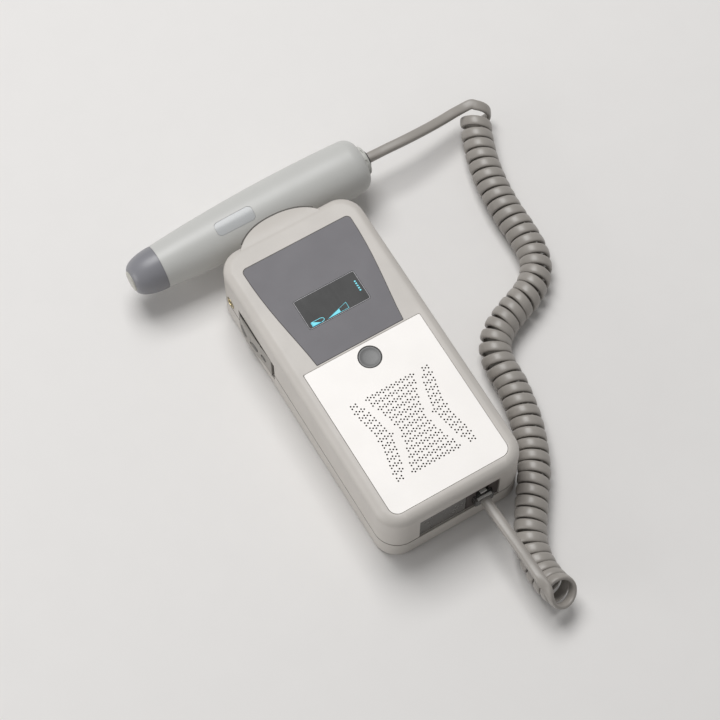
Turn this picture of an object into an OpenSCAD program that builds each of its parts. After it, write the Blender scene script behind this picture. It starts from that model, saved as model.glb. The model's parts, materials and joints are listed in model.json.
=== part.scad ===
// Handheld pocket doppler lying on its back, with its probe in the top holder
// and a curly cord that runs beside the case from the probe to the end socket.
// +Z is up through the face, +Y runs along the case towards the probe.
// The origin is on the table, under the middle of the case and probe together.

/* [Case] */
// Width of the case
case_w = 72; // [70:0.5:78]
// Length of the case without the holder's ears
case_l = 154.3; // [153:0.5:166]
// Thickness of the case, both shells together
case_t = 39.4; // [38.8:0.2:44]
// Depth of the front shell, from the face to the seam
front_depth = 26; // [25.6:0.1:26.4]
// Radius of the case's upright corners
corner_r = 11.5; // [9:0.5:13]
// Radius round the edge of the face
face_r = 4.8; // [3:0.2:5.2]
// Radius round the edge of the back
back_r = 2; // [1:0.1:2.2]
// Thickness of the side and end walls
wall = 2.4; // [2.2:0.1:2.6]
// Thickness of the shell behind the face
face_wall = 3; // [2.8:0.1:3.2]
// Thickness of the back
back_wall = 2.4; // [2.4:0.1:2.8]

/* [Grille plate] */
// Width of the pale plate over the loudspeaker
plate_w = 60; // [56:0.5:60]
// Length of the plate
plate_l = 77.7; // [74:0.5:79]
// Thickness of the plate
plate_t = 1.6; // [1.2:0.1:1.8]
// Radius of the plate's lower corners
plate_r = 4.4; // [2:0.2:6]
// Radius of the plate's upper corners
plate_top_r = 0.8; // [0.5:0.1:2]
// Margin between the plate and the lower end of the case
end_margin = 5.65; // [5.4:0.05:7]
// Play round each inlaid panel
inlay_gap = 0.15; // [0.1:0.01:0.25]

/* [Display panel] */
// Ridge left between the plate and the display panel
ridge_w = 1.2; // [0.8:0.1:2]
// Length of the display panel
overlay_l = 58; // [52:0.5:58.5]
// Width of the panel at the ridge
overlay_low_w = 44.6; // [40:0.2:50]
// Width of the panel at the top
overlay_top_w = 56.2; // [54:0.2:57]
// Thickness of the panel
overlay_t = 0.8; // [0.6:0.1:1]
// Radius of the panel's top corners
overlay_r = 2.4; // [1:0.1:4]
// Width of the window
window_w = 31.5; // [26:0.5:34]
// Length of the window
window_l = 15.8; // [12:0.2:18]
// Sideways offset of the window's middle
window_x = -0.4; // [-2:0.1:2]
// Distance from the ridge to the window's middle
window_up = 24.5; // [20:0.5:30]
// Ledge under the window's edge
window_ledge = 1.6; // [1:0.1:2.5]
// Width of the display module
module_w = 40; // [36:0.5:44]
// Length of the display module
module_l = 22; // [20:0.5:24]
// Thickness of the display module
module_t = 3.2; // [2.6:0.1:3.6]

/* [Power button] */
// Diameter of the button
button_d = 10.5; // [9:0.1:11.5]
// Play round the button in its hole
button_gap = 0.35; // [0.25:0.05:0.5]
// Distance from the plate's upper edge to the button's middle
button_in = 7.1; // [6.6:0.1:9]
// How far the button goes down
button_travel = 0.8; // [0.4:0.1:0.9]
// Depth of the dish in the button's top
button_dish = 0.5; // [0.3:0.1:0.7]
// Thickness of the flange that keeps the button in
flange_t = 1; // [0.8:0.1:1.2]
// How far each flange reaches past its hole
flange_lip = 1; // [0.7:0.1:1.2]
// Gap between a resting flange and its seat
flange_gap = 0.1; // [0.05:0.01:0.15]

/* [Side keys] */
// Distance from the case's upper end to the key recess
keys_in = 21.3; // [20:0.5:24]
// Length of the key recess
keys_l = 32.5; // [31:0.5:34]
// Lower edge of the recess above the table
keys_low = 7.4; // [6.8:0.1:8]
// Height of the recess
keys_h = 16.5; // [15:0.5:17]
// Gap above and below the key strip
strip_gap = 0.5; // [0.3:0.05:0.8]
// Bare gap at the lower end of the recess
strip_end_gap = 3; // [2:0.1:3.6]
// Thickness of the strip's flange behind the wall
strip_flange = 0.8; // [0.6:0.1:0.9]
// How far the flange reaches past the recess
strip_lip = 1.2; // [0.8:0.1:1.4]
// How far the strip's swell stands out from the wall
strip_swell = 1.6; // [0.8:0.1:2]
// How far the keys stand out of the strip
key_out = 0.3; // [0.1:0.1:1]
// How far a key goes in
key_travel = 0.8; // [0.4:0.1:0.9]
// Play round a key in the strip
key_gap = 0.25; // [0.15:0.05:0.35]
// Diameter of the first key
key_up_d = 5.8; // [5:0.1:6.4]
// Diameter of the second key
key_down_d = 4.8; // [4:0.1:5.4]
// Diameter of the third key
key_mode_d = 3.4; // [3:0.1:4]
// Distance from the recess's upper end to the first key
key_up_in = 6.2; // [5.6:0.1:6.6]
// Distance from the first key to the second
key_pitch = 9.7; // [9.2:0.1:10]
// Distance from the second key to the third
key_pitch_2 = 7; // [6.8:0.1:7.4]
// Height of the keys above the table
key_z = 14.2; // [13.8:0.1:15]

/* [Earphone socket] */
// Distance from the case's upper end to the socket
ear_in = 13.6; // [12.4:0.1:14]
// Height of the socket above the table
ear_z = 17.6; // [17.2:0.1:20]
// Bore of the socket
ear_bore = 3.6; // [3.5:0.05:3.8]
// Diameter of the ring round the socket
ear_ring_d = 6; // [5.4:0.1:6.4]
// Length of the socket's body
ear_body_l = 12; // [11:0.5:14]

/* [End socket and plug] */
// Width of the opening in the lower end
port_w = 41; // [40:0.5:42]
// Sideways offset of the opening's middle
port_x = 0.8; // [0:0.1:1]
// Height of the opening, from the seam up
port_h = 17.8; // [17:0.1:18.2]
// Width of the cord's socket
socket_w = 16.6; // [15.6:0.1:17.5]
// Depth of the cord's socket
socket_l = 14.2; // [13.6:0.1:14.4]
// How far the socket and the blank panel sit back in the opening
port_set = 0.8; // [0.6:0.1:1]
// Thickness of the blank panel
panel_t = 1.6; // [1.2:0.1:2]
// Width of the plug
plug_w = 9.6; // [9.4:0.1:9.8]
// Height of the plug
plug_h = 6.6; // [6.4:0.1:6.8]
// Length of the plug
plug_l = 12.6; // [12:0.1:13]
// How far the plug stands out of the case's end
plug_out = 1.8; // [1.2:0.1:2.6]
// Height of the plug's middle above the table
plug_z = 20.1; // [19.6:0.1:20.6]
// Play round the plug in its socket
plug_gap = 0.15; // [0.1:0.01:0.2]
// Width of the plug's latch lever
latch_w = 3.2; // [3:0.1:4]
// Thickness of the latch lever
latch_t = 0.8; // [0.6:0.1:0.9]
// Length of the latch lever
latch_l = 10.8; // [10:0.1:11]
// Slope of the latch lever at rest
latch_slope = 14; // [12:0.5:15]

/* [Battery] */
// Diameter of a cell
cell_d = 14.5; // [14:0.1:14.5]
// Length of a cell
cell_l = 50.5; // [49:0.1:50.5]
// Play between the cells
cell_gap = 0.3; // [0.2:0.05:0.4]
// Thickness of the contact plates
contact_t = 0.5; // [0.4:0.1:0.6]
// Height of the contact plates
contact_h = 8; // [6:0.5:9]
// Thickness of the battery door
door_t = 1.9; // [1.7:0.1:2]
// Play round the battery door
door_gap = 0.2; // [0.15:0.05:0.3]
// Width of the tongue along each side of the door
door_tongue = 1.2; // [0.8:0.1:1.4]
// Distance from the plate's middle back to the battery bay's middle
bay_back = 1.3; // [0.5:0.1:1.6]

/* [Inside] */
// Diameter of the loudspeaker
speaker_d = 37; // [34:0.5:40]
// Depth of the loudspeaker with its magnet
speaker_depth = 9; // [7:0.5:12]
// Thickness of the loudspeaker's rim
speaker_rim = 2; // [1.6:0.1:3]
// Width of the rim under the face
speaker_ledge = 2.5; // [1.5:0.1:3]
// Distance from the plate's middle back to the loudspeaker's middle
speaker_back = 8; // [6:0.5:9]
// Thickness of the circuit boards
board_t = 1.6; // [1.2:0.1:1.8]
// How far the main board reaches below the button's middle
board_low = 5; // [4:0.5:7]
// Depth of the screws' holes short of the face
screw_short = 6; // [5:0.5:8]
// Height of the display carrier above the main board
carrier_h = 4.4; // [4.2:0.1:4.6]
// Shank diameter of the case screws
screw_d = 2.4; // [2:0.1:2.6]
// Head diameter of the case screws
screw_head_d = 5; // [4.4:0.1:5.2]
// How far the case screws reach past the seam
screw_reach = 12; // [8:0.5:14]
// Distance of the screws from the side walls
screw_in_x = 8.2; // [7.8:0.1:8.4]
// Distance of the screws from the end walls
screw_in_y = 6.8; // [6.2:0.1:6.9]

/* [Holder] */
// Radius of the holder's ears seen from the front
ear_r = 27.1; // [26:0.1:29]
// How far the ears stand out of the case's upper end
ear_out = 7.4; // [6:0.1:8]
// How far the ears' middle lies left of the case's middle
ear_left = 2.5; // [0:0.5:4]
// How far the front ear's nose drops from the face
ear_drop = 3.9; // [3:0.1:4.4]
// How far the front ear's top lies below the face
ear_sink = 0.6; // [0.4:0.1:0.8]
// Clearance between the ears and the probe
hold_gap = 0.3; // [0.25:0.05:0.5]

/* [Probe] */
// Largest radius of the probe's barrel
probe_r = 14; // [13.5:0.1:14.2]
// Radius where the barrel meets the nose
nose_r = 10.6; // [10:0.1:11]
// Where the barrel is widest, measured from the case's middle
probe_wide_x = 17; // [12:0.5:20]
// Where the barrel meets the nose
nose_x = -55.9; // [-58:0.1:-52]
// Length of the nose
nose_l = 15.1; // [14:0.1:16]
// Radius of the flat tip
tip_r = 5; // [4.8:0.1:5.6]
// Where the rear shoulder starts to round in
shoulder_x = 46; // [44:0.5:47]
// Where the barrel ends at the cord
barrel_end_x = 52.3; // [51:0.1:53]
// Radius of the flat round the cord collar
barrel_end_r = 8.6; // [8:0.1:9]
// Height of the probe's middle line above the table
probe_z = 20.05; // [19.9:0.05:20.3]
// Gap between the probe and the case's upper end
probe_gap_y = 4.2; // [3.6:0.1:5]
// Wall of the probe's shells
probe_wall = 1.8; // [1.6:0.1:2]
// Radius of the cord collar at the barrel
collar_r = 7.2; // [6.8:0.1:7.4]
// Length of the cord collar
collar_l = 2.5; // [2:0.1:3]
// Length of the small sleeve on the collar
sleeve_l = 1.1; // [0.8:0.1:1.4]
// Radius of the small sleeve
sleeve_r = 4.2; // [3.6:0.1:4.6]
// Where the blank label starts along the probe
label_x = -26.7; // [-30:0.1:-20]
// Length of the blank label
label_l = 19.7; // [16:0.1:22]
// Angle that the label spans round the barrel
label_angle = 31.5; // [24:0.5:36]
// Depth of the label's recess
label_t = 0.4; // [0.3:0.05:0.5]
// Width of the probe's circuit board
probe_board_w = 19; // [16:0.5:19]
// Thickness of the ribs that carry the board
probe_rib_t = 1.2; // [0.8:0.1:2]
// Distance from the nose to the first rib
probe_rib_in = 22; // [16:1:30]
// Distance between the two ribs
probe_rib_pitch = 52; // [40:1:56]

/* [Cord] */
// Diameter of the cord
cord_d = 4.4; // [4.2:0.1:4.8]
// Radius of the curls, measured to the cord's middle
coil_r = 5.4; // [5:0.1:5.4]
// Least gap aimed at between neighbouring curls
coil_gap = 0.62; // [0.6:0.02:1]
// Share by which the first curls are pulled open
coil_open = 0.55; // [0:0.05:0.8]
// Length over which the first curls close up
coil_open_l = 10; // [6:1:16]
// Length of the straight bit at each end of a cord piece
cord_stub = 1.2; // [1:0.1:2]

/* [Hidden] */
$fn = 64;
eps = 0.01;

// Levels above the table
seam_z = case_t - front_depth;
inner_top = case_t - face_wall;
board_z = inner_top - module_t - flange_gap - carrier_h - board_t;

// Places along the case, measured from the plate's middle
low_y = -plate_l / 2 - end_margin;
high_y = low_y + case_l;
button_y = plate_l / 2 - button_in;
overlay_y = plate_l / 2 + ridge_w;
window_y = overlay_y + window_up;
keys_y1 = high_y - keys_in;
keys_y0 = keys_y1 - keys_l;
key_up_y = keys_y1 - key_up_in;
key_down_y = key_up_y - key_pitch;
key_mode_y = key_down_y - key_pitch_2;
ear_y = high_y - ear_in;
ear_mid_y = high_y + ear_out - ear_r;
side_x = case_w / 2;
inner_x = side_x - wall;

// Probe
probe_y = high_y + probe_gap_y + probe_r;
tip_x = nose_x - nose_l;
sleeve_x = barrel_end_x + collar_l + sleeve_l;
taper = (probe_r - nose_r) / pow(probe_wide_x - nose_x, 2);
front_ear_z = probe_z + probe_r + hold_gap;
rear_ear_z = probe_z - probe_r - hold_gap;

// The origin: the middle of the whole object without its cord
off_x = -(tip_x + sleeve_x) / 2;
off_y = -(low_y + probe_y + probe_r) / 2;

// Battery bay
bay_y = -bay_back;
bay_l = cell_l + 2 * (contact_t + cell_gap);
bay_w = 3 * cell_d + 4 * cell_gap;
door_w = bay_w + 2;
cell_z = door_t + door_gap + cell_gap + cell_d / 2;
bay_rim_z = door_t + door_gap + 1.4;
bay_wall = 1.2;

// End socket
port_x0 = port_x - port_w / 2;
port_x1 = port_x + port_w / 2;
socket_x = port_x1 - inlay_gap - socket_w / 2;
plug_y0 = low_y - plug_out;
latch_y = plug_y0 + plug_l - 0.8;
latch_z = plug_z + plug_h / 2 + 0.1;
socket_board_z = seam_z + inlay_gap - board_t;

// Keys
strip_z0 = keys_low + strip_gap;
strip_z1 = keys_low + keys_h - strip_gap;
strip_y0 = keys_y0 + strip_end_gap;
strip_y1 = keys_y1 - strip_gap;
strip_in_x = -side_x + 1.6;
function strip_side(y) = strip_swell * sin(180 * pow((y - strip_y0) / (strip_y1 - strip_y0), 1.8));
key_end_x = -inner_x + 1.4;
key_switch_x = key_end_x + key_travel + 0.2;

// Cord routes, hand-placed from the photograph: x, y and height
COIL_AXIS = [[124.9, 80.8, 9.2], [121.8, 75, 8.2], [118.3, 68, 7.7], [113.6, 55, 7.7],
  [110.6, 41, 7.7], [109.2, 27, 7.7], [109, 13, 7.7], [107.6, 1, 7.7], [103, -8, 7.7],
  [94.5, -14.5, 7.7], [83, -19, 7.7], [73, -24, 7.7], [66.5, -31, 7.7], [64, -40, 7.7],
  [63.6, -49, 7.7], [62, -58, 7.7], [59.4, -69, 7.7], [55.2, -80, 7.7], [50.1, -90.3, 7.7],
  [43.8, -99, 7.7], [38, -107, 7.7], [32.5, -115, 7.7], [29.4, -121.5, 7.7], [27.8, -128, 8],
  [27.1, -134.6, 9], [27.1, -140.7, 11.2], [27.5, -145.9, 14.4], [27.8, -148.2, 16.3]];
END_TURN = 0.75;
CURL_RINGS = 8;
PLUG_CORD_MID = [[20.6, -104, 20.6], [20.9, -114, 20.9], [21.2, -123, 21], [21.4, -132, 21],
  [21.4, -139, 21.6], [21.6, -144.4, 20.8]];
PROBE_CORD_MID = [[74, 79.1, 20], [85, 79, 19.5], [97, 79.9, 17.6], [106, 80.9, 16.1],
  [112.5, 81.6, 15.5], [118.6, 81.9, 15.2]];

// Angle round the barrel where the label starts
LABEL_FROM = 178;

// Parts on the probe's board: distance from the nose, offset to the side, length, width, height
BOARD_PARTS = [[30, 6, 10, 10, 2], [50, 5, 14, 8, 2.6]];

function unit(v) = v / norm(v);

// A smooth curve through the points P, with n steps between neighbours
function between(a, b, c, d, t) = 0.5 * (2 * b + (c - a) * t + (2 * a - 5 * b + 4 * c - d) * t * t
  + (3 * b - a - 3 * c + d) * t * t * t);
function curve(P, n) = let (m = len(P) - 1) concat(
  [for (i = [0 : m - 1], j = [0 : n - 1]) between(i > 0 ? P[i - 1] : 2 * P[0] - P[1],
    P[i], P[i + 1], i < m - 1 ? P[i + 2] : 2 * P[m] - P[m - 1], j / n)], [P[m]]);

// The curly cord's middle line and how fast it turns along it
axis_pts = curve(COIL_AXIS, 8);
axis_n = len(axis_pts);
axis_dir = [for (i = [0 : axis_n - 1])
  unit(axis_pts[min(i + 1, axis_n - 1)] - axis_pts[max(i - 1, 0)])];
axis_bend = [for (i = [0 : axis_n - 1]) let (a = max(i - 3, 0), b = min(i + 3, axis_n - 1))
  norm(axis_dir[b] - axis_dir[a]) / norm(axis_pts[b] - axis_pts[a])];
axis_len = [for (i = 0, s = 0; i < axis_n;
  s = s + (i < axis_n - 1 ? norm(axis_pts[i + 1] - axis_pts[i]) : 0), i = i + 1) s];
axis_pitch = [for (i = [0 : axis_n - 1]) (cord_d + coil_gap) / (1 - coil_r * min(axis_bend[i], 0.12))
  * (1 + coil_open * exp(-pow(axis_len[i] / coil_open_l, 2)))];
axis_turn = [for (i = 0, s = 0; i < axis_n;
  s = s + (i < axis_n - 1 ? norm(axis_pts[i + 1] - axis_pts[i]) / axis_pitch[i] : 0),
  i = i + 1) s];
axis_turns = axis_turn[axis_n - 1];
coil_curls = floor(axis_turns - END_TURN) + END_TURN;
axis_tab = [for (k = [0 : 2]) [for (i = [0 : axis_n - 1]) [axis_turn[i], axis_pts[i][k]]]];
dir_tab = [for (k = [0 : 2]) [for (i = [0 : axis_n - 1]) [axis_turn[i], axis_dir[i][k]]]];

// Where the cord's middle lies after q curls, with the direction out from the coil's axis
function coil_at(q) = let (s = q * axis_turns / coil_curls,
  c = [for (k = [0 : 2]) lookup(s, axis_tab[k])],
  t = unit([for (k = [0 : 2]) lookup(s, dir_tab[k])]),
  side = unit(cross([0, 0, 1], t)),
  up = cross(t, side),
  out = side * sin(360 * q) + up * cos(360 * q)) [c + coil_r * out, out];
function coil_dir(q) = let (h = 0.002) unit(coil_at(q + h)[0] - coil_at(q - h)[0]);

coil_rings = CURL_RINGS * coil_curls;
coil_pts = [for (k = [0 : coil_rings]) coil_at(k / CURL_RINGS)[0]];
coil_dirs = [for (k = [0 : coil_rings])
  k == 0 ? unit(coil_at(0.004)[0] - coil_at(0)[0])
  : k == coil_rings ? unit(coil_at(coil_curls)[0] - coil_at(coil_curls - 0.004)[0])
  : coil_dir(k / CURL_RINGS)];
coil_outs = [for (k = [0 : coil_rings]) coil_at(k / CURL_RINGS)[1]];
coil_start = coil_pts[0] - coil_dirs[0] * cord_stub;
coil_end = coil_pts[coil_rings] + coil_dirs[coil_rings] * cord_stub;

// Least gap of the curly cord to itself, measured between its rings and their halfway points
gap_pts = [for (k = [0 : 2 * coil_rings]) k % 2 == 0 ? coil_pts[k / 2]
  : (coil_pts[(k - 1) / 2] + coil_pts[(k + 1) / 2]) / 2];
gap_n = len(gap_pts);
coil_gaps = [for (i = [0 : gap_n - 11]) min([for (j = [i + 10 : min(i + 40, gap_n - 1)])
  norm(gap_pts[j] - gap_pts[i])]) - cord_d];
echo(coil_curls = coil_curls, coil_least_gap = min(coil_gaps));

// Routes of the two free stretches, each straight for a stub at its ends
plug_cord_start = [off_x + socket_x, off_y + plug_y0, plug_z];
plug_cord_route = concat([plug_cord_start, plug_cord_start - [0, cord_stub, 0]], PLUG_CORD_MID,
  [coil_end + coil_dirs[coil_rings] * cord_stub, coil_end]);
probe_cord_start = [off_x + sleeve_x, off_y + probe_y, probe_z];
probe_cord_end = coil_start - coil_dirs[0] * hold_gap;
probe_cord_route = concat([probe_cord_start, probe_cord_start + [cord_stub, 0, 0]], PROBE_CORD_MID,
  [probe_cord_end - coil_dirs[0] * cord_stub, probe_cord_end]);
function least(A, B) = min([for (a = A, b = B) norm(a - b)]) - cord_d;
plug_cord_pts = smooth_route(plug_cord_route, 3);
probe_cord_pts = smooth_route(probe_cord_route, 3);
echo(plug_cord_to_coil = least([for (i = [0 : len(plug_cord_pts) - 5]) plug_cord_pts[i]], coil_pts));
echo(probe_cord_to_coil = least([for (i = [0 : len(probe_cord_pts) - 4]) probe_cord_pts[i]],
  [for (i = [4 : coil_rings]) coil_pts[i]]));

// A route whose first and last steps stay straight
function smooth_route(P, n) = let (m = len(P) - 1,
  Q = curve([for (i = [1 : m - 1]) P[i]], n)) concat([P[0]], Q, [P[m]]);

// A solid lofted through rings of points, all faces triangles
module loft(R) {
  m = len(R[0]);
  n = len(R);
  polyhedron(points = [for (r = R) each r], faces = concat(
    [for (j = [1 : m - 2]) [0, j, j + 1]],
    [for (i = [0 : n - 2], j = [0 : m - 1], k = [0, 1]) let (a = i * m + j,
      b = i * m + (j + 1) % m) k == 0 ? [a, b + m, b] : [a, a + m, b + m]],
    [for (j = [1 : m - 2]) let (z = (n - 1) * m) [z, z + j + 1, z + j]]));
}

function ring(c, dir, ref, d, sides) = let (b = unit(cross(dir, ref)), a = cross(b, dir))
  [for (j = [0 : sides - 1]) c + d / 2 * (a * cos(360 * j / sides) + b * sin(360 * j / sides))];

// A tube of diameter d swept along the points P
module tube(P, d, ref, sides) {
  n = len(P) - 1;
  loft([for (i = [0 : n]) ring(P[i], i == 0 ? unit(P[1] - P[0]) : i == n ? unit(P[n] - P[n - 1])
    : unit(unit(P[i + 1] - P[i]) + unit(P[i] - P[i - 1])), ref, d, sides)]);
}

// Moves a piece drawn round the plate's middle to its place in the frame
module place() {
  translate([off_x, off_y, 0]) children();
}

// A flat rectangle with round corners, its middle at x = 0 and its lower edge at y = 0
module round_rect(w, l, r) {
  translate([-w / 2 + r, 0]) square([w - 2 * r, l]);
  translate([-w / 2, r]) square([w, l - 2 * r]);
  for (x = [-w / 2 + r, w / 2 - r], y = [r, l - r]) translate([x, y]) circle(r);
}

// A block over round_rect whose top and bottom edges are rounded all the way round
module soft_block(w, l, h, r, top, low) {
  steps = 6;
  edge = concat(
    low > 0 ? [for (i = [0 : steps]) let (a = 90 * i / steps)
      [r - low + low * sin(a), low - low * cos(a)]] : [[r, 0]],
    top > 0 ? [for (i = [0 : steps]) let (a = 90 * i / steps)
      [r - top + top * cos(a), h - top + top * sin(a)]] : [[r, h]]);
  side = concat([[0, 0]], edge, [[0, h]]);
  translate([-w / 2 + r, r, 0]) cube([w - 2 * r, l - 2 * r, h]);
  for (m = [0, 1]) mirror([m, 0, 0]) {
    translate([w / 2 - r, l - r, 0]) rotate([90, 0, 0]) linear_extrude(l - 2 * r) polygon(side);
    translate([w / 2 - r, r, 0]) rotate([0, 0, -90]) rotate_extrude(angle = 90) polygon(side);
    translate([w / 2 - r, l - r, 0]) rotate_extrude(angle = 90) polygon(side);
  }
  translate([-w / 2 + r, l - r, 0]) rotate([90, 0, 90]) linear_extrude(w - 2 * r) polygon(side);
  translate([w / 2 - r, r, 0]) rotate([90, 0, -90]) linear_extrude(w - 2 * r) polygon(side);
}

module plate_outline(extra) {
  w = plate_w + 2 * extra;
  l = plate_l + 2 * extra;
  translate([0, -l / 2]) {
    translate([-w / 2 + plate_r, 0]) square([w - 2 * plate_r, l]);
    translate([-w / 2, plate_r]) square([w, l - plate_r - plate_top_r]);
    translate([-w / 2 + plate_top_r, plate_r]) square([w - 2 * plate_top_r, l - plate_r]);
    for (s = [-1, 1]) {
      translate([s * (w / 2 - plate_r), plate_r]) circle(plate_r);
      translate([s * (w / 2 - plate_top_r), l - plate_top_r]) circle(plate_top_r);
    }
  }
}

// Half width of the panel at the share t of its length, a soft flare towards the top
function overlay_half(t) = overlay_low_w / 2
  + (overlay_top_w - overlay_low_w) / 2 * pow(sin(90 * t), 1.25);

module overlay_outline(extra) {
  top = overlay_top_w / 2 + extra;
  y0 = overlay_y - extra;
  y1 = overlay_y + overlay_l + extra;
  steps = 8;
  side = [for (i = [0 : steps]) let (t = i / steps)
    [overlay_half(t) + extra, y0 + (y1 - overlay_r - y0) * t]];
  polygon(concat(side, [for (i = [0 : steps]) [-side[steps - i][0], side[steps - i][1]]]));
  translate([-top + overlay_r, y1 - overlay_r - eps]) square([2 * (top - overlay_r), overlay_r + eps]);
  for (s = [-1, 1]) translate([s * (top - overlay_r), y1 - overlay_r]) circle(overlay_r);
}

module window_outline(extra) {
  translate([window_x, window_y - window_l / 2 - extra])
    round_rect(window_w + 2 * extra, window_l + 2 * extra, 0.8 + max(extra, -0.4));
}

module at_screws() {
  for (x = [-side_x + screw_in_x, side_x - screw_in_x], y = [low_y + screw_in_y, high_y - screw_in_y])
    translate([x, y, 0]) children();
}

module probe_axis() {
  translate([0, probe_y, probe_z]) children();
}

// An upright slice of the holder, as wide as its ears
module ear_column(z0, z1) {
  translate([-ear_left, ear_mid_y, z0]) intersection() {
    cylinder(r = ear_r, h = z1 - z0, $fn = 128);
    translate([-ear_r, high_y - ear_mid_y - wall - 1, 0]) cube([2 * ear_r, 2 * ear_r, z1 - z0]);
  }
}

module probe_bore() {
  translate([-ear_r - 5, probe_y, probe_z]) rotate([0, 90, 0])
    cylinder(r = probe_r + hold_gap, h = 2 * ear_r + 10, $fn = 128);
  translate([-ear_r - 5, probe_y, rear_ear_z]) cube([2 * ear_r + 10, ear_r, front_ear_z - rear_ear_z]);
}

module key_recess() {
  translate([-side_x - 1, keys_y0, keys_low]) cube([wall + 2, keys_l, keys_h]);
}

module front_shell() {
  color("#cfcbc5") place() difference() {
    union() {
      difference() {
        translate([0, low_y, seam_z]) soft_block(case_w, case_l, front_depth, corner_r, face_r, 0);
        translate([0, low_y + wall, seam_z - 1]) linear_extrude(front_depth - face_wall + 1)
          round_rect(case_w - 2 * wall, case_l - 2 * wall, corner_r - wall);
      }
      difference() {
        ear_column(seam_z, case_t - ear_sink);
        probe_bore();
        front_ear_slope();
      }
      at_screws() translate([0, 0, seam_z]) cylinder(d = screw_d + 4.8, h = front_depth - 1);
      for (x = [-26, 26], y = [overlay_y + 4, overlay_y + overlay_l - 5])
        translate([x, y, board_z + board_t]) cylinder(r = 2.2, h = inner_top - board_z - board_t + 1);
    }
    translate([0, 0, case_t - plate_t]) linear_extrude(plate_t + 1) plate_outline(inlay_gap);
    translate([0, 0, case_t - overlay_t]) linear_extrude(overlay_t + 1) overlay_outline(inlay_gap);
    translate([0, 0, inner_top - 1]) linear_extrude(face_wall + 2) window_outline(-window_ledge);
    translate([0, button_y, inner_top - 1]) cylinder(d = button_d + 2 * button_gap, h = face_wall + 2);
    translate([0, -speaker_back, inner_top - 1])
      cylinder(d = speaker_d - 2 * speaker_ledge, h = face_wall + 2);
    at_screws() translate([0, 0, seam_z - 1]) cylinder(d = screw_d + 0.1, h = front_depth - screw_short);
    translate([port_x0, low_y - 1, seam_z - 1]) cube([port_w, wall + 2, port_h + 1]);
    translate([socket_x - socket_w / 2 - inlay_gap, low_y + wall - eps, seam_z - 1])
      cube([socket_w + 2 * inlay_gap, socket_l + port_set, port_h + 1]);
    key_recess();
    translate([-side_x - 1, ear_y, ear_z]) rotate([0, 90, 0]) cylinder(d = ear_ring_d + 0.2, h = wall + 2);
  }
}

// Everything above the front ear's rounded slope
module front_ear_slope() {
  run = ear_out + 1.8;
  drop = ear_drop - ear_sink;
  r = (run * run + drop * drop) / (2 * drop);
  y0 = high_y + ear_out - run;
  z0 = case_t - ear_sink - r;
  difference() {
    translate([-ear_r - 1, y0, z0]) cube([2 * ear_r + 2, r + 20, r + 5]);
    translate([-ear_r - 2, y0, z0]) rotate([0, 90, 0]) cylinder(r = r, h = 2 * ear_r + 4, $fn = 128);
  }
}

module rear_shell() {
  color("#c9c5bf") place() difference() {
    union() {
      difference() {
        translate([0, low_y, 0]) soft_block(case_w, case_l, seam_z, corner_r, 0, back_r);
        translate([0, low_y + wall, back_wall]) linear_extrude(seam_z)
          round_rect(case_w - 2 * wall, case_l - 2 * wall, corner_r - wall);
      }
      difference() {
        ear_column(0, seam_z);
        probe_bore();
      }
      at_screws() translate([0, 0, 1]) cylinder(d = screw_head_d + 4, h = seam_z - 1);
      translate([-bay_w / 2 - 3, low_y + 1, 1])
        cube([bay_w + 6, bay_y + bay_l / 2 + 3 - low_y - 1, bay_rim_z - 1]);
      for (s = [-1, 1]) translate([s * (bay_w + bay_wall) / 2 - bay_wall / 2, bay_y - bay_l / 2, 1])
        cube([bay_wall, bay_l, seam_z - 1]);
      for (s = [-1, 1])
        translate([-bay_w / 2 - bay_wall, bay_y + s * (bay_l + bay_wall) / 2 - bay_wall / 2, 1])
        cube([bay_w + 2 * bay_wall, bay_wall, seam_z - 1]);
      for (x = [-4.5, 4.5])
        translate([socket_x + x, low_y + 11, 1]) cylinder(r = 1.8, h = socket_board_z - 1);
      for (y = [keys_y0 + 5, keys_y1 - 5]) translate([key_switch_x + 1.4, y - 2, 1])
        cube([4, 4, keys_low - 2.4]);
    }
    translate([-bay_w / 2, bay_y - bay_l / 2, -1]) cube([bay_w, bay_l, seam_z + 2]);
    translate([-door_w / 2 - door_gap, low_y - 1, -1])
      cube([door_w + 2 * door_gap, bay_y + bay_l / 2 + 1 + door_gap - low_y + 1, door_t + door_gap + 1]);
    translate([-door_w / 2 - door_tongue - door_gap, low_y - 1, door_t / 2 - door_gap / 2])
      cube([door_w + 2 * (door_tongue + door_gap), bay_y + bay_l / 2 + 1 + door_gap - low_y + 1,
        door_t / 2 + 1.5 * door_gap]);
    at_screws() {
      translate([0, 0, -1]) cylinder(d = screw_d + 0.8, h = seam_z + 2);
      translate([0, 0, -1]) cylinder(d = screw_head_d + 0.6, h = 4);
    }
    key_recess();
  }
}

// A door that slides out of the lower end in two side grooves
module battery_door() {
  color("#c4c0ba") place() intersection() {
    translate([0, low_y, 0]) soft_block(case_w, case_l, seam_z, corner_r, 0, back_r);
    union() {
      difference() {
        translate([-door_w / 2, low_y, 0]) cube([door_w, bay_y + bay_l / 2 + 1 - low_y, door_t]);
        for (i = [0 : 4]) translate([-8, low_y + 9 + 2.2 * i, -1]) cube([16, 1, 1.5]);
      }
      translate([-door_w / 2 - door_tongue, low_y + corner_r, door_t / 2])
        cube([door_w + 2 * door_tongue, bay_y + bay_l / 2 + 1 - low_y - corner_r, door_t / 2]);
    }
  }
}

module grille_plate() {
  color("#faf8f5") place() difference() {
    translate([0, 0, case_t - plate_t]) linear_extrude(plate_t) plate_outline(0);
    translate([0, button_y, case_t - plate_t - 1]) cylinder(d = button_d + 2 * button_gap, h = plate_t + 2);
  }
}

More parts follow.
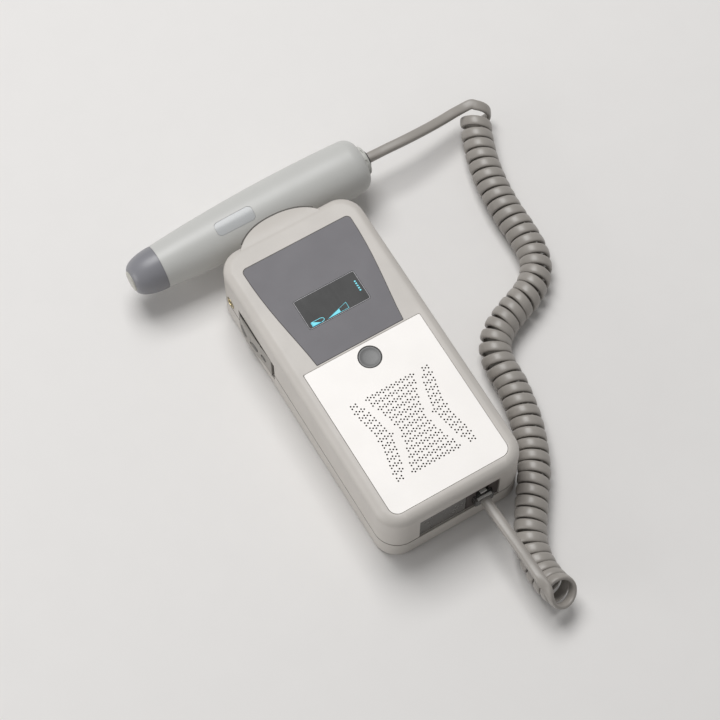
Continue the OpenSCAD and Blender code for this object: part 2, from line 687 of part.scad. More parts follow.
module display_overlay() {
  color("#7d7a80") place() difference() {
    translate([0, 0, case_t - overlay_t]) linear_extrude(overlay_t) overlay_outline(0);
    translate([0, 0, case_t - overlay_t - 1]) linear_extrude(overlay_t + 2) window_outline(inlay_gap);
  }
}

module display_window() {
  color("#4a4a4a") place()
    translate([0, 0, case_t - overlay_t]) linear_extrude(overlay_t) window_outline(0);
}

module display_module() {
  color("#3a3d40") place()
    translate([window_x - module_w / 2, window_y - module_l / 2, inner_top - flange_gap - module_t])
    cube([module_w, module_l, module_t]);
}

module display_carrier() {
  color("#e6e4df") place()
    translate([window_x - module_w / 2 + 1, window_y - module_l / 2 + 1, board_z + board_t])
    difference() {
      cube([module_w - 2, module_l - 2, carrier_h]);
      translate([2, 2, -1]) cube([module_w - 6, module_l - 6, carrier_h + 2]);
    }
}

module power_button() {
  top = case_t - 0.15;
  flange_top = inner_top - flange_gap;
  stem_low = board_z + board_t + 2.4 + button_travel + 0.2;
  color("#858687") place() translate([0, button_y, 0]) difference() {
    union() {
      translate([0, 0, flange_top - flange_t]) cylinder(d = button_d, h = top - flange_top + flange_t);
      translate([0, 0, flange_top - flange_t])
        cylinder(d = button_d + 2 * (button_gap + flange_lip), h = flange_t);
      translate([0, 0, stem_low]) cylinder(d = 4, h = flange_top - flange_t - stem_low + eps);
    }
    translate([0, 0, top - button_dish + 22]) sphere(r = 22, $fn = 96);
  }
}

module button_switch() {
  color("#2f2f31") place() translate([0, button_y, board_z + board_t]) {
    translate([-3, -3, 0]) cube([6, 6, 1.8]);
    cylinder(d = 3.2, h = 2.4);
  }
}

module main_board() {
  color("#2f6b46") place()
    translate([-inner_x + 3, button_y - board_low, board_z])
    cube([2 * inner_x - 6, high_y - screw_in_y - screw_head_d - 1 - button_y + board_low, board_t]);
}

module speaker() {
  color("#3b3b3d") place() translate([0, -speaker_back, inner_top]) {
    difference() {
      translate([0, 0, -speaker_rim]) cylinder(d = speaker_d, h = speaker_rim);
      translate([0, 0, -speaker_rim / 2])
        cylinder(d1 = speaker_d - 6 * speaker_ledge, d2 = speaker_d - 2 * speaker_ledge, h = speaker_rim);
    }
    translate([0, 0, -speaker_depth]) cylinder(d = speaker_d / 2, h = speaker_depth - speaker_rim);
  }
}

// The soft strip in the side recess: a swelling pad with a flange behind the wall
module key_strip() {
  pad_x = -inner_x + strip_flange / 2;
  steps = 16;
  color("#8f9092") place() difference() {
    union() {
      translate([0, 0, strip_z0]) linear_extrude(strip_z1 - strip_z0)
        polygon(concat([[pad_x, strip_y1], [pad_x, strip_y0]],
          [for (i = [0 : steps]) let (y = strip_y0 + (strip_y1 - strip_y0) * i / steps)
            [-side_x - strip_side(y), y]]));
      translate([-inner_x, keys_y0 - strip_lip, strip_z0 - strip_lip])
        cube([strip_flange, keys_l + 2 * strip_lip, strip_z1 - strip_z0 + 2 * strip_lip]);
    }
    for (k = [[key_up_y, key_up_d], [key_down_y, key_down_d], [key_mode_y, key_mode_d]])
      translate([0, k[0], key_z]) rotate([0, 90, 0]) {
        translate([0, 0, -side_x - 5]) cylinder(d = k[1] + 2 * key_gap, h = wall + 8);
        translate([0, 0, strip_in_x]) cylinder(d = k[1] + 2 * (key_gap + 0.9), h = wall + 2);
      }
  }
}

module key(y, d) {
  out = side_x + strip_side(y) + key_out;
  color("#a3a4a6") place() translate([0, y, key_z]) rotate([0, 90, 0]) {
    translate([0, 0, -out + 0.4]) cylinder(d = d, h = out - 0.4 + key_end_x);
    translate([0, 0, -out]) cylinder(d1 = d - 0.8, d2 = d, h = 0.4 + eps);
    translate([0, 0, strip_in_x + flange_gap]) cylinder(d = d + 1.4, h = 0.8);
  }
}

module volume_up_key() { key(key_up_y, key_up_d); }
module volume_down_key() { key(key_down_y, key_down_d); }
module mode_key() { key(key_mode_y, key_mode_d); }

module key_board() {
  color("#2f6b46") place() {
    translate([key_switch_x + 2, keys_y0 + 1.5, keys_low - 1.4]) cube([board_t, keys_l - 3, keys_h]);
    for (y = [key_up_y, key_down_y, key_mode_y])
      translate([key_switch_x, y - 2, key_z - 2]) cube([2 + eps, 4, 4]);
  }
}

module earphone_ring() {
  color("#b59a5b") place() translate([-side_x - 0.3, ear_y, ear_z]) rotate([0, 90, 0]) difference() {
    cylinder(d = ear_ring_d, h = wall + 0.3);
    translate([0, 0, -1]) cylinder(d = ear_bore, h = wall + 3);
  }
}

module earphone_socket() {
  color("#262628") place() translate([-inner_x + 0.1, ear_y, ear_z]) difference() {
    translate([0, -3, -3]) cube([ear_body_l, 6, 6]);
    translate([-1, 0, 0]) rotate([0, 90, 0]) cylinder(d = ear_bore, h = ear_body_l);
  }
}

module end_panel() {
  x1 = socket_x - socket_w / 2 - inlay_gap;
  color("#5a5856") place() translate([port_x0 + inlay_gap, low_y + port_set, seam_z + inlay_gap])
    cube([x1 - port_x0 - inlay_gap, panel_t, port_h - 2 * inlay_gap]);
}

module cord_socket() {
  hole_w = plug_w + 2 * plug_gap;
  hole_z = plug_z - plug_h / 2 - plug_gap;
  color("#35332f") place() difference() {
    translate([socket_x - socket_w / 2, low_y + port_set, seam_z + inlay_gap])
      cube([socket_w, socket_l, port_h - 2 * inlay_gap]);
    translate([socket_x - hole_w / 2, low_y - 1, hole_z])
      cube([hole_w, plug_l - plug_out + 1.2, plug_h + 2 * plug_gap]);
    translate([socket_x - 3.3, low_y - 1, hole_z])
      cube([6.6, plug_l - plug_out + 1.2, plug_h + 2 * plug_gap + 4]);
  }
}

module socket_board() {
  color("#2f6b46") place()
    translate([socket_x - socket_w / 2, low_y + wall + 0.3, socket_board_z])
    cube([socket_w, bay_y - bay_l / 2 - bay_wall - 0.2 - low_y - wall - 0.3, board_t]);
}

module cell(i) {
  x = (i - 2) * (cell_d + cell_gap);
  color("#3f6fa3") place() translate([x, bay_y - cell_l / 2, cell_z]) rotate([-90, 0, 0]) {
    cylinder(d = cell_d, h = cell_l - 1);
    cylinder(d = 5.5, h = cell_l);
  }
}

module battery_cell_1() { cell(1); }
module battery_cell_2() { cell(2); }
module battery_cell_3() { cell(3); }

module contact(y) {
  color("#b8bcc0") place()
    translate([-bay_w / 2 + 0.5, y, bay_rim_z]) cube([bay_w - 1, contact_t, contact_h]);
}

module battery_contact_low() { contact(bay_y - bay_l / 2); }
module battery_contact_high() { contact(bay_y + bay_l / 2 - contact_t); }

module screw(sx, sy) {
  x = sx * (side_x - screw_in_x);
  y = sy > 0 ? high_y - screw_in_y : low_y + screw_in_y;
  color("#9a9ea2") place() translate([x, y, 0]) difference() {
    union() {
      translate([0, 0, 1.2]) cylinder(d = screw_head_d, h = 1.8);
      translate([0, 0, 3 - eps]) cylinder(d = screw_d, h = seam_z - 3 + screw_reach);
    }
    for (a = [0, 90]) rotate([0, 0, a]) translate([-1.4, -0.3, 0]) cube([2.8, 0.6, 2.2]);
  }
}

module case_screw_1() { screw(-1, -1); }
module case_screw_2() { screw(1, -1); }
module case_screw_3() { screw(-1, 1); }
module case_screw_4() { screw(1, 1); }

module cord_plug() {
  color("#d8dadb") place() difference() {
    translate([socket_x - plug_w / 2, plug_y0, plug_z - plug_h / 2]) cube([plug_w, plug_l, plug_h]);
    for (i = [-1.5 : 1.5])
      translate([socket_x + i * 1.1 - 0.25, plug_y0 + plug_l - 3, plug_z - plug_h / 2 - 1]) cube([0.5, 4, 2.2]);
  }
}

// The plug's springy lever, held at its inner end
module plug_latch() {
  color("#d8dadb") place() translate([socket_x, latch_y, latch_z]) rotate([-latch_slope, 0, 0]) {
    translate([-latch_w / 2, -latch_l, 0]) cube([latch_w, latch_l, latch_t]);
    translate([-latch_w / 2 - 1.4, -latch_l + 3.2, 0]) cube([latch_w + 2.8, 3, latch_t]);
  }
}

module plug_cord() {
  color("#bdbbb5") tube(plug_cord_pts, cord_d, [1, 0, 0], 10);
}

module probe_cord() {
  color("#bdbbb5") tube(probe_cord_pts, cord_d, [0, 0, 1], 10);
}

// One unbroken tube through every curl
module coiled_cord() {
  first = ring(coil_start, coil_dirs[0], coil_outs[0], cord_d, 6);
  last = ring(coil_end, coil_dirs[coil_rings], coil_outs[coil_rings], cord_d, 6);
  color("#bdbbb5") loft(concat([first],
    [for (k = [0 : coil_rings]) ring(coil_pts[k], coil_dirs[k], coil_outs[k], cord_d, 6)], [last]));
}

// Radius of the barrel at x, rounding in past the rear shoulder
function barrel_r(x) = probe_r - taper * pow(x - probe_wide_x, 2);
function shoulder_r(x) = barrel_end_r + (barrel_r(shoulder_x) - barrel_end_r)
  * sqrt(max(0, 1 - pow((x - shoulder_x) / (barrel_end_x - shoulder_x), 2)));
function barrel_side(x0, x1, n, less) = [for (i = [0 : n]) let (x = x0 + (x1 - x0) * i / n)
  [barrel_r(x) - less, x]];

// Turns a profile of [radius, x] points about the probe's middle line
module turned(from, angle, P) {
  place() probe_axis() rotate([0, 90, 0]) rotate([0, 0, from])
    rotate_extrude(angle = angle, $fn = 96) polygon(P);
}

module probe_half(from) {
  inner = barrel_end_r - probe_wall;
  outside = concat(barrel_side(nose_x, shoulder_x, 16, 0),
    [for (i = [1 : 6]) let (x = shoulder_x + (barrel_end_x - shoulder_x) * sin(15 * i)) [shoulder_r(x), x]]);
  inside = barrel_side(shoulder_x - 1, nose_x, 8, probe_wall);
  turned(from, 180, concat(outside, [[inner, barrel_end_x], [inner, barrel_end_x - 3]], inside));
}

module probe_front_shell() {
  color("#c2c2bd") difference() {
    probe_half(90);
    turned(LABEL_FROM, label_angle, concat(barrel_side(label_x, label_x + label_l, 6, label_t),
      barrel_side(label_x + label_l, label_x, 6, -1)));
  }
}

// A rib across the rear half that carries the board
module probe_rib(x) {
  difference() {
    turned(270, 180, concat([[0, x + probe_rib_t], [0, x]],
      barrel_side(x, x + probe_rib_t, 1, probe_wall - 0.3)));
    place() probe_axis() translate([x - 1, -probe_r, -board_t / 2 - inlay_gap])
      cube([probe_rib_t + 2, 2 * probe_r, board_t]);
  }
}

module probe_rear_shell() {
  color("#bcbcb7") {
    probe_half(270);
    for (i = [0, 1]) probe_rib(nose_x + probe_rib_in + i * probe_rib_pitch);
  }
}

module probe_label() {
  play = 0.1;
  color("#c9d3dc") turned(LABEL_FROM + 0.4, label_angle - 0.8, concat(
    barrel_side(label_x + play, label_x + label_l - play, 6, label_t - 0.04),
    barrel_side(label_x + label_l - play, label_x + play, 6, 0.05)));
}

// Outline of the nose from the barrel down to the flat tip
function nose_side(less, n) = [for (i = [0 : n]) let (a = 90 * i / n)
  [tip_r + 0.1 - less + (nose_r - tip_r - 0.1) * cos(a), nose_x - (nose_l - 0.8) * pow(sin(a), 1)]];

module probe_nose() {
  lens_bore = tip_r - 1;
  inner = nose_r - probe_wall - 0.05;
  outside = nose_side(0, 10);
  color("#7f7f83") turned(0, 360, concat([[inner - 1.4, nose_x + 4], [inner, nose_x + 4], [inner, nose_x]],
    outside, [[lens_bore, nose_x - nose_l + 0.8], [lens_bore, nose_x - nose_l + 4],
    [inner - 1.4, nose_x - nose_l / 2 + 1]]));
}

module probe_lens() {
  color("#b9b7ae") turned(0, 360, [[0, tip_x], [tip_r - 0.4, tip_x], [tip_r, tip_x + 0.4],
    [tip_r, tip_x + 0.8], [tip_r - 1.1, tip_x + 0.8], [tip_r - 1.1, tip_x + 3], [0, tip_x + 3]]);
}

module probe_crystals() {
  color("#d8c9a0") place() probe_axis() for (s = [0, 180]) rotate([s, 0, 0])
    translate([tip_x + 3, 0, 0]) rotate([0, 90, 0]) intersection() {
      cylinder(r = tip_r - 1.2, h = 1.4);
      translate([-10, 0.2, -1]) cube([20, 10, 4]);
    }
}

module probe_board() {
  color("#2f6b46") place() probe_axis() {
    translate([nose_x + 11, -probe_board_w / 2, -board_t / 2])
      cube([barrel_end_x - nose_x - 26, probe_board_w, board_t]);
    for (p = BOARD_PARTS) translate([nose_x + p[0], -p[1], board_t / 2 - eps]) cube([p[2], p[3], p[4]]);
  }
}

module probe_collar() {
  x = barrel_end_x;
  inner = barrel_end_r - probe_wall - 0.05;
  color("#8b8c8e") turned(0, 360, [[0, x - 5], [inner, x - 5], [inner, x], [collar_r, x],
    [collar_r, x + collar_l * 0.6], [collar_r - 1, x + collar_l], [sleeve_r, x + collar_l],
    [sleeve_r, x + collar_l + sleeve_l], [0, x + collar_l + sleeve_l]]);
}

front_shell();
rear_shell();
battery_door();
grille_plate();
display_overlay();
display_window();
display_module();
display_carrier();
power_button();
button_switch();
main_board();
speaker();
key_strip();
volume_up_key();
volume_down_key();
mode_key();
key_board();
earphone_ring();
earphone_socket();
end_panel();
cord_socket();
socket_board();
battery_cell_1();
battery_cell_2();
battery_cell_3();
battery_contact_low();
battery_contact_high();
case_screw_1();
case_screw_2();
case_screw_3();
case_screw_4();
cord_plug();
plug_latch();
plug_cord();
coiled_cord();
probe_cord();
probe_front_shell();
probe_rear_shell();
probe_nose();
probe_lens();
probe_crystals();
probe_board();
probe_collar();
probe_label();
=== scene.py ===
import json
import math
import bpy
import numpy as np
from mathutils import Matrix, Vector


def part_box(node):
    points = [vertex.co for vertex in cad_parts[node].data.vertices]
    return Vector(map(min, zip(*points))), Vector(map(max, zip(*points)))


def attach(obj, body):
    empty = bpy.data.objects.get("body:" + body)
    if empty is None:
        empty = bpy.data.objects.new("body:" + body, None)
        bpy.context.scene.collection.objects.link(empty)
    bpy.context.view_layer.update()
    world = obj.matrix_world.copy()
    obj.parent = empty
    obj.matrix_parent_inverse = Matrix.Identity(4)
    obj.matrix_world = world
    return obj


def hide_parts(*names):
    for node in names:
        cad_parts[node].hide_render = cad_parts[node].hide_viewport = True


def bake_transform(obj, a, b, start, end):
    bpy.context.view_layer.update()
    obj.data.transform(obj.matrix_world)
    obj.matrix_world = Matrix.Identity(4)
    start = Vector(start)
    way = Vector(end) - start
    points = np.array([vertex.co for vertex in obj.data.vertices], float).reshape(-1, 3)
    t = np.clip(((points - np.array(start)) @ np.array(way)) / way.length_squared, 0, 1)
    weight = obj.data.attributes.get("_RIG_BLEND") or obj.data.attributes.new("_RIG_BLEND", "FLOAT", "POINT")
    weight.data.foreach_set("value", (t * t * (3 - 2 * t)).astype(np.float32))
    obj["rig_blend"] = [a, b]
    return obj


bl_info = {
    "name": "Pocket Doppler Looks",
    "version": (1, 0, 0),
    "blender": (4, 5, 0),
    "location": "3D View > Sidebar > Doppler",
    "description": "Gives the pocket doppler its shells, pierced plate, display, keys, probe and curly cord",
    "category": "Object",
}

import bmesh
import bpy
from mathutils import Matrix, Vector

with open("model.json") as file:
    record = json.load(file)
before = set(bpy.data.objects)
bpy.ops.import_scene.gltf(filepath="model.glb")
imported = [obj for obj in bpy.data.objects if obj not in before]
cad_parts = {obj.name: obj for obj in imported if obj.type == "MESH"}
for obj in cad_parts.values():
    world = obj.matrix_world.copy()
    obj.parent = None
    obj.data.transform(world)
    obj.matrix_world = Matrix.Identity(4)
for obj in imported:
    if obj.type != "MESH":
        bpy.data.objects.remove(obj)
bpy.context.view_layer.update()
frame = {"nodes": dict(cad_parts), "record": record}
NODES = frame["nodes"]

MM = 0.001
# Middle of the pierced plate in the frame, in millimetres
PLATE_X = 7.55
PLATE_Y = -48.75
# Heights above the table, in millimetres
FACE_Z = 39.4
SEAM_Z = 13.4
# Half width of the case, and from its side to the keys' flanges
CASE_HALF = 36.0
STRIP_SEAT = 1.7
# Middle axis of the round probe
PROBE_Y = 79.25
PROBE_Z = 20.05
# Front ear of the probe's holder: its round outline, and the round slope of its face
EAR_X = -2.5
EAR_Y = 90.1
EAR_R = 27.1
EAR_TURN = 43.0
EAR_SLOPE_Y = 108.0
EAR_SLOPE_Z = 24.33
EAR_SLOPE_R = 14.47
UP = Vector((0, 0, 1))
# Faces that meet at more than this angle make a sharp edge, and at less than this lie flat
SHARP = math.radians(35)
FLAT = math.radians(0.6)
# A face whose normal has this much of up in it looks up
UPWARD = 0.9
# Corners nearer to each other than this, in metres, are one
MERGE = 2e-6
# Middle part of a noise that is stretched over the whole range, and the strength of every bump
NOISE_LOW = 0.3
NOISE_HIGH = 0.7
BUMP_STRENGTH = 0.5
# Turn of the wiping lines in handling marks, in radians, and their scale along themselves
WIPE_TURN = 0.6
WIPE_STRETCH = 0.06


def at(x, y, z):
    """A place measured in millimetres from the plate's middle and up from the table."""
    return Vector(((x + PLATE_X) * MM, (y + PLATE_Y) * MM, z * MM))


def linear(code):
    """A colour of the renderer from six hexadecimal digits as seen on a screen."""
    parts = [int(code[i:i + 2], 16) / 255 for i in (0, 2, 4)]
    return tuple(p / 12.92 if p <= 0.04045 else ((p + 0.055) / 1.055) ** 2.4 for p in parts)


def steps_between(first, last, count):
    return [first + (last - first) * i / count for i in range(count + 1)]


def colour_prop(name, description, code):
    return bpy.props.FloatVectorProperty(
        name=name, description=description, subtype="COLOR", size=3, min=0, max=1, default=linear(code))


def length_prop(name, description, millimetres):
    return bpy.props.FloatProperty(
        name=name, description=description, unit="LENGTH", subtype="DISTANCE", precision=5,
        default=millimetres * MM)


class DopplerColours(bpy.types.PropertyGroup):
    """Colours of the doppler's finishes"""
    case: colour_prop("Case", "Warm pale grey of both case shells", "c9c4be")
    plate: colour_prop("Plate", "Near white of the pierced plate", "f3efeb")
    overlay: colour_prop("Display film", "Grey film round the window", "6e6c70")
    window: colour_prop("Window", "Dark glass of the display", "3c3c3c")
    signs: colour_prop("Display signs", "Lit signs of the display", "6fd6e4")
    border: colour_prop("Window border", "Pale line round the window", "9b999d")
    button: colour_prop("Button", "Round button on the plate", "787878")
    strip: colour_prop("Key strip", "Soft strip in the side wall", "a09c96")
    key: colour_prop("Side keys", "Three keys in the strip", "676562")
    probe: colour_prop("Probe", "Barrel of the probe", "c4c4c1")
    nose: colour_prop("Nose", "Grey nose of the probe", "85858a")
    lens: colour_prop("Lens", "Rubber window in the probe's tip", "b9b7ae")
    label: colour_prop("Label field", "Bare inset label on the probe", "b8babb")
    cord: colour_prop("Cord", "Jacket of the curly cord", "9e9993")
    port: colour_prop("End panel", "Dark panel in the lower end", "64625f")
    brass: colour_prop("Ring", "Brass ring of the earphone socket", "b3a683")


class DopplerCase(bpy.types.PropertyGroup):
    """Edges of the two case shells"""
    edge: length_prop("Edge", "Rounding along the shells' openings", 0.2)
    seam: length_prop("Seam", "Half width of the groove between the shells", 0.5)
    # Painted shadow: the dark lip stands for the shade in the gap between the holder's ear and the probe
    lip: length_prop("Lip", "How far the dark lip stands out of the probe's holder", 0.7)


class DopplerPlate(bpy.types.PropertyGroup):
    """Sound holes of the pierced plate"""
    hole: length_prop("Hole", "Diameter of one sound hole", 0.82)
    depth: length_prop("Depth", "Depth that is drilled", 1.2)
    half_pitch: length_prop("Half pitch", "Half the distance between holes of a row", 1.222)
    band_pitch: length_prop("Band pitch", "Distance between two bands of holes", 3.28)
    row_step: length_prop("Row step", "Distance of a band's outer rows from its middle", 0.72)


class DopplerCord(bpy.types.PropertyGroup):
    """The curly cord"""
    width: length_prop("Width", "Width of the flat cord", 4.9)
    thick: length_prop("Thickness", "Thickness of the flat cord", 2.2)
    end: length_prop("Round end", "Diameter where the cord enters its collar and its plug", 4.7)
    free_thick: length_prop("Free thickness", "Thickness of the two stretches without curls", 3.6)
    curl: length_prop("Curl radius", "Radius of the curls to the cord's middle", 6.5)
    crease: length_prop("Crease", "Least room kept between neighbouring curls", 0.1)
    squareness: bpy.props.FloatProperty(
        name="Squareness", description="How square the cord's section is, 2 is an oval", default=3.0)
    sides: bpy.props.IntProperty(
        name="Sides", description="Sides of the cord's section", default=20, min=8, max=32)
    curl_steps: bpy.props.IntProperty(
        name="Steps", description="Points along one curl", default=24, min=12, max=48)


class DopplerStage(bpy.types.PropertyGroup):
    """Camera, lamps and floor"""
    turn: bpy.props.FloatProperty(
        name="Turn", description="Direction the camera looks from", unit="ROTATION",
        default=math.radians(-30.68))
    rise: bpy.props.FloatProperty(
        name="Rise", description="Angle of the camera above the table", unit="ROTATION",
        default=math.radians(65.77))
    lens: bpy.props.FloatProperty(name="Lens", description="Focal length in mm", default=119.18, min=20)
    distance: length_prop("Distance", "From the camera to the doppler", 1060.1)
    floor: colour_prop("Table", "Pale table top", "e9e7e5")
    key_power: bpy.props.FloatProperty(
        name="Key lamp", description="Power of the soft lamp overhead", unit="POWER", default=22.5)
    side_power: bpy.props.FloatProperty(
        name="Side lamp", description="Power of the soft lamp on the left", unit="POWER", default=2.4)
    sky: bpy.props.FloatProperty(
        name="Room light", description="Strength of the light from all round", default=0.25)


GROUPS = (
    ("doppler_colours", DopplerColours),
    ("doppler_case", DopplerCase),
    ("doppler_plate", DopplerPlate),
    ("doppler_cord", DopplerCord),
    ("doppler_stage", DopplerStage),
)


def new_group(name, inputs, outputs):
    """An empty shader group with sockets for named numbers and colours, and its two end nodes."""
    tree = bpy.data.node_groups.new(name, "ShaderNodeTree")
    for label, value in inputs.items():
        kind = "NodeSocketColor" if isinstance(value, tuple) else "NodeSocketFloat"
        socket = tree.interface.new_socket(name=label, in_out="INPUT", socket_type=kind)
        socket.default_value = value
    for label in outputs:
        kind = "NodeSocketColor" if label == "Color" else "NodeSocketFloat"
        tree.interface.new_socket(name=label, in_out="OUTPUT", socket_type=kind)
    start = tree.nodes.new("NodeGroupInput")
    end = tree.nodes.new("NodeGroupOutput")
    return tree, start, end


def feed(tree, socket, value):
    """Sets a socket to a number, or links another node's output to it."""
    if isinstance(value, (int, float)):
        socket.default_value = value
    else:
        tree.links.new(value, socket)


def math_node(tree, operation, *values):
    node = tree.nodes.new("ShaderNodeMath")
    node.operation = operation
    for socket, value in zip(node.inputs, values):
        feed(tree, socket, value)
    return node.outputs[0]


def noise_node(tree, vector, scale, detail):
    node = tree.nodes.new("ShaderNodeTexNoise")
    for label, value in (("Vector", vector), ("Scale", scale), ("Detail", detail)):
        feed(tree, node.inputs[label], value)
    return node.outputs["Fac"]


def spread_node(tree, value, low, high):
    """Stretches the middle of a noise over low to high."""
    node = tree.nodes.new("ShaderNodeMapRange")
    bounds = (("From Min", NOISE_LOW), ("From Max", NOISE_HIGH), ("To Min", low), ("To Max", high))
    for label, bound in (("Value", value),) + bounds:
        feed(tree, node.inputs[label], bound)
    return node.outputs["Result"]


def gloss_and_height(tree, start, end, broad, fine, share):
    """Roughness from a broad and a fine pattern mixed by share, and the fine one as height."""
    both = math_node(tree, "MULTIPLY_ADD", broad, share, math_node(tree, "MULTIPLY", fine, 1 - share))
    rough = spread_node(tree, both, start.outputs["Roughness Low"], start.outputs["Roughness High"])
    tree.links.new(rough, end.inputs["Roughness"])
    tree.links.new(fine, end.inputs["Height"])


def skin_group():
    """Moulded skin: a slow drift of colour, a fine grain and a roughness that changes with both."""
    name = "Moulded Skin"
    if name in bpy.data.node_groups:
        return bpy.data.node_groups[name]
    inputs = {"Color": (0.8, 0.8, 0.8, 1), "Shade": (0.7, 0.7, 0.7, 1), "Drift Scale": 60.0,
              "Grain Scale": 2500.0, "Roughness Low": 0.4, "Roughness High": 0.5}
    tree, start, end = new_group(name, inputs, ("Color", "Roughness", "Height"))
    place = tree.nodes.new("ShaderNodeTexCoord").outputs["Object"]
    drift = noise_node(tree, place, start.outputs["Drift Scale"], 3.0)
    grain = noise_node(tree, place, start.outputs["Grain Scale"], 2.0)
    mix = tree.nodes.new("ShaderNodeMix")
    mix.data_type = "RGBA"
    tree.links.new(spread_node(tree, drift, 0.0, 1.0), mix.inputs["Factor"])
    tree.links.new(start.outputs["Color"], mix.inputs["A"])
    tree.links.new(start.outputs["Shade"], mix.inputs["B"])
    tree.links.new(mix.outputs["Result"], end.inputs["Color"])
    gloss_and_height(tree, start, end, drift, grain, 0.5)
    return tree


def smudge_group():
    """Handling marks: faint cloudy patches and fine wiping lines that change the gloss."""
    name = "Handling Marks"
    if name in bpy.data.node_groups:
        return bpy.data.node_groups[name]
    inputs = {"Patch Scale": 90.0, "Line Scale": 900.0, "Roughness Low": 0.1, "Roughness High": 0.3}
    tree, start, end = new_group(name, inputs, ("Roughness", "Height"))
    place = tree.nodes.new("ShaderNodeTexCoord").outputs["Object"]
    stretch = tree.nodes.new("ShaderNodeMapping")
    set_sockets(stretch, {"Rotation": (0, 0, WIPE_TURN), "Scale": (1, WIPE_STRETCH, 1)})
    tree.links.new(place, stretch.inputs["Vector"])
    patches = noise_node(tree, place, start.outputs["Patch Scale"], 4.0)
    lines = noise_node(tree, stretch.outputs["Vector"], start.outputs["Line Scale"], 1.0)
    gloss_and_height(tree, start, end, patches, lines, 0.7)
    return tree


def blank_material(name):
    material = bpy.data.materials.new(name)
    material.use_nodes = True
    tree = material.node_tree
    return material, tree, tree.nodes["Principled BSDF"]


def group_node(tree, group, **inputs):
    """A shader group placed in a material, with its own values."""
    node = tree.nodes.new("ShaderNodeGroup")
    node.node_tree = group
    set_sockets(node, inputs)
    return node


def set_sockets(node, values):
    """Sets a node's inputs by name, with an underscore for each space."""
    for label, value in values.items():
        node.inputs[label.replace("_", " ")].default_value = value


def shaded(colour, drift):
    """A colour made darker by a share."""
    return (*(c * (1 - drift) for c in colour), 1)


def dress_shader(tree, shader, skin, depth, sockets):
    """Takes roughness and a bump of depth in mm from a group, and sets the shader's constants."""
    tree.links.new(skin.outputs["Roughness"], shader.inputs["Roughness"])
    bump = tree.nodes.new("ShaderNodeBump")
    set_sockets(bump, {"Distance": depth * MM, "Strength": BUMP_STRENGTH})
    tree.links.new(skin.outputs["Height"], bump.inputs["Height"])
    tree.links.new(bump.outputs["Normal"], shader.inputs["Normal"])
    set_sockets(shader, sockets)


def moulded(name, colour, drift=0.05, rough=(0.42, 0.52), grain=2500.0, depth=0.02, **sockets):
    """A moulded plastic or rubber; the shade is the colour made darker by drift, depth is in mm."""
    if name in bpy.data.materials:
        return bpy.data.materials[name]
    material, tree, shader = blank_material(name)
    skin = group_node(tree, skin_group(), Color=(*colour, 1), Shade=shaded(colour, drift),
                      Grain_Scale=grain, Roughness_Low=rough[0], Roughness_High=rough[1])
    tree.links.new(skin.outputs["Color"], shader.inputs["Base Color"])
    dress_shader(tree, shader, skin, depth, sockets)
    return material


def glossy(name, colour, rough=(0.08, 0.2), depth=0.004, **sockets):
    """A smooth surface with handling marks in its gloss."""
    if name in bpy.data.materials:
        return bpy.data.materials[name]
    material, tree, shader = blank_material(name)
    marks = group_node(tree, smudge_group(), Roughness_Low=rough[0], Roughness_High=rough[1])
    shader.inputs["Base Color"].default_value = (*colour, 1)
    dress_shader(tree, shader, marks, depth, sockets)
    return material


def lit(name, colour):
    """A printed sign that gives off a little light of its own colour."""
    material, tree, shader = blank_material(name)
    skin = group_node(tree, skin_group(), Color=(*colour, 1), Shade=shaded(colour, 0.1))
    tree.links.new(skin.outputs["Color"], shader.inputs["Base Color"])
    tree.links.new(skin.outputs["Color"], shader.inputs["Emission Color"])
    shader.inputs["Emission Strength"].default_value = 0.25
    return material


def clear_with_painted_highlight():
    """The clear plastic of the plug's latch, made pale and less clear as a painted highlight, and of the end
    bar, which is a painted highlight.
    """
    return glossy("Latch clear with painted highlight", linear("eceae6"), rough=(0.1, 0.2), Transmission_Weight=0.35, IOR=1.49)


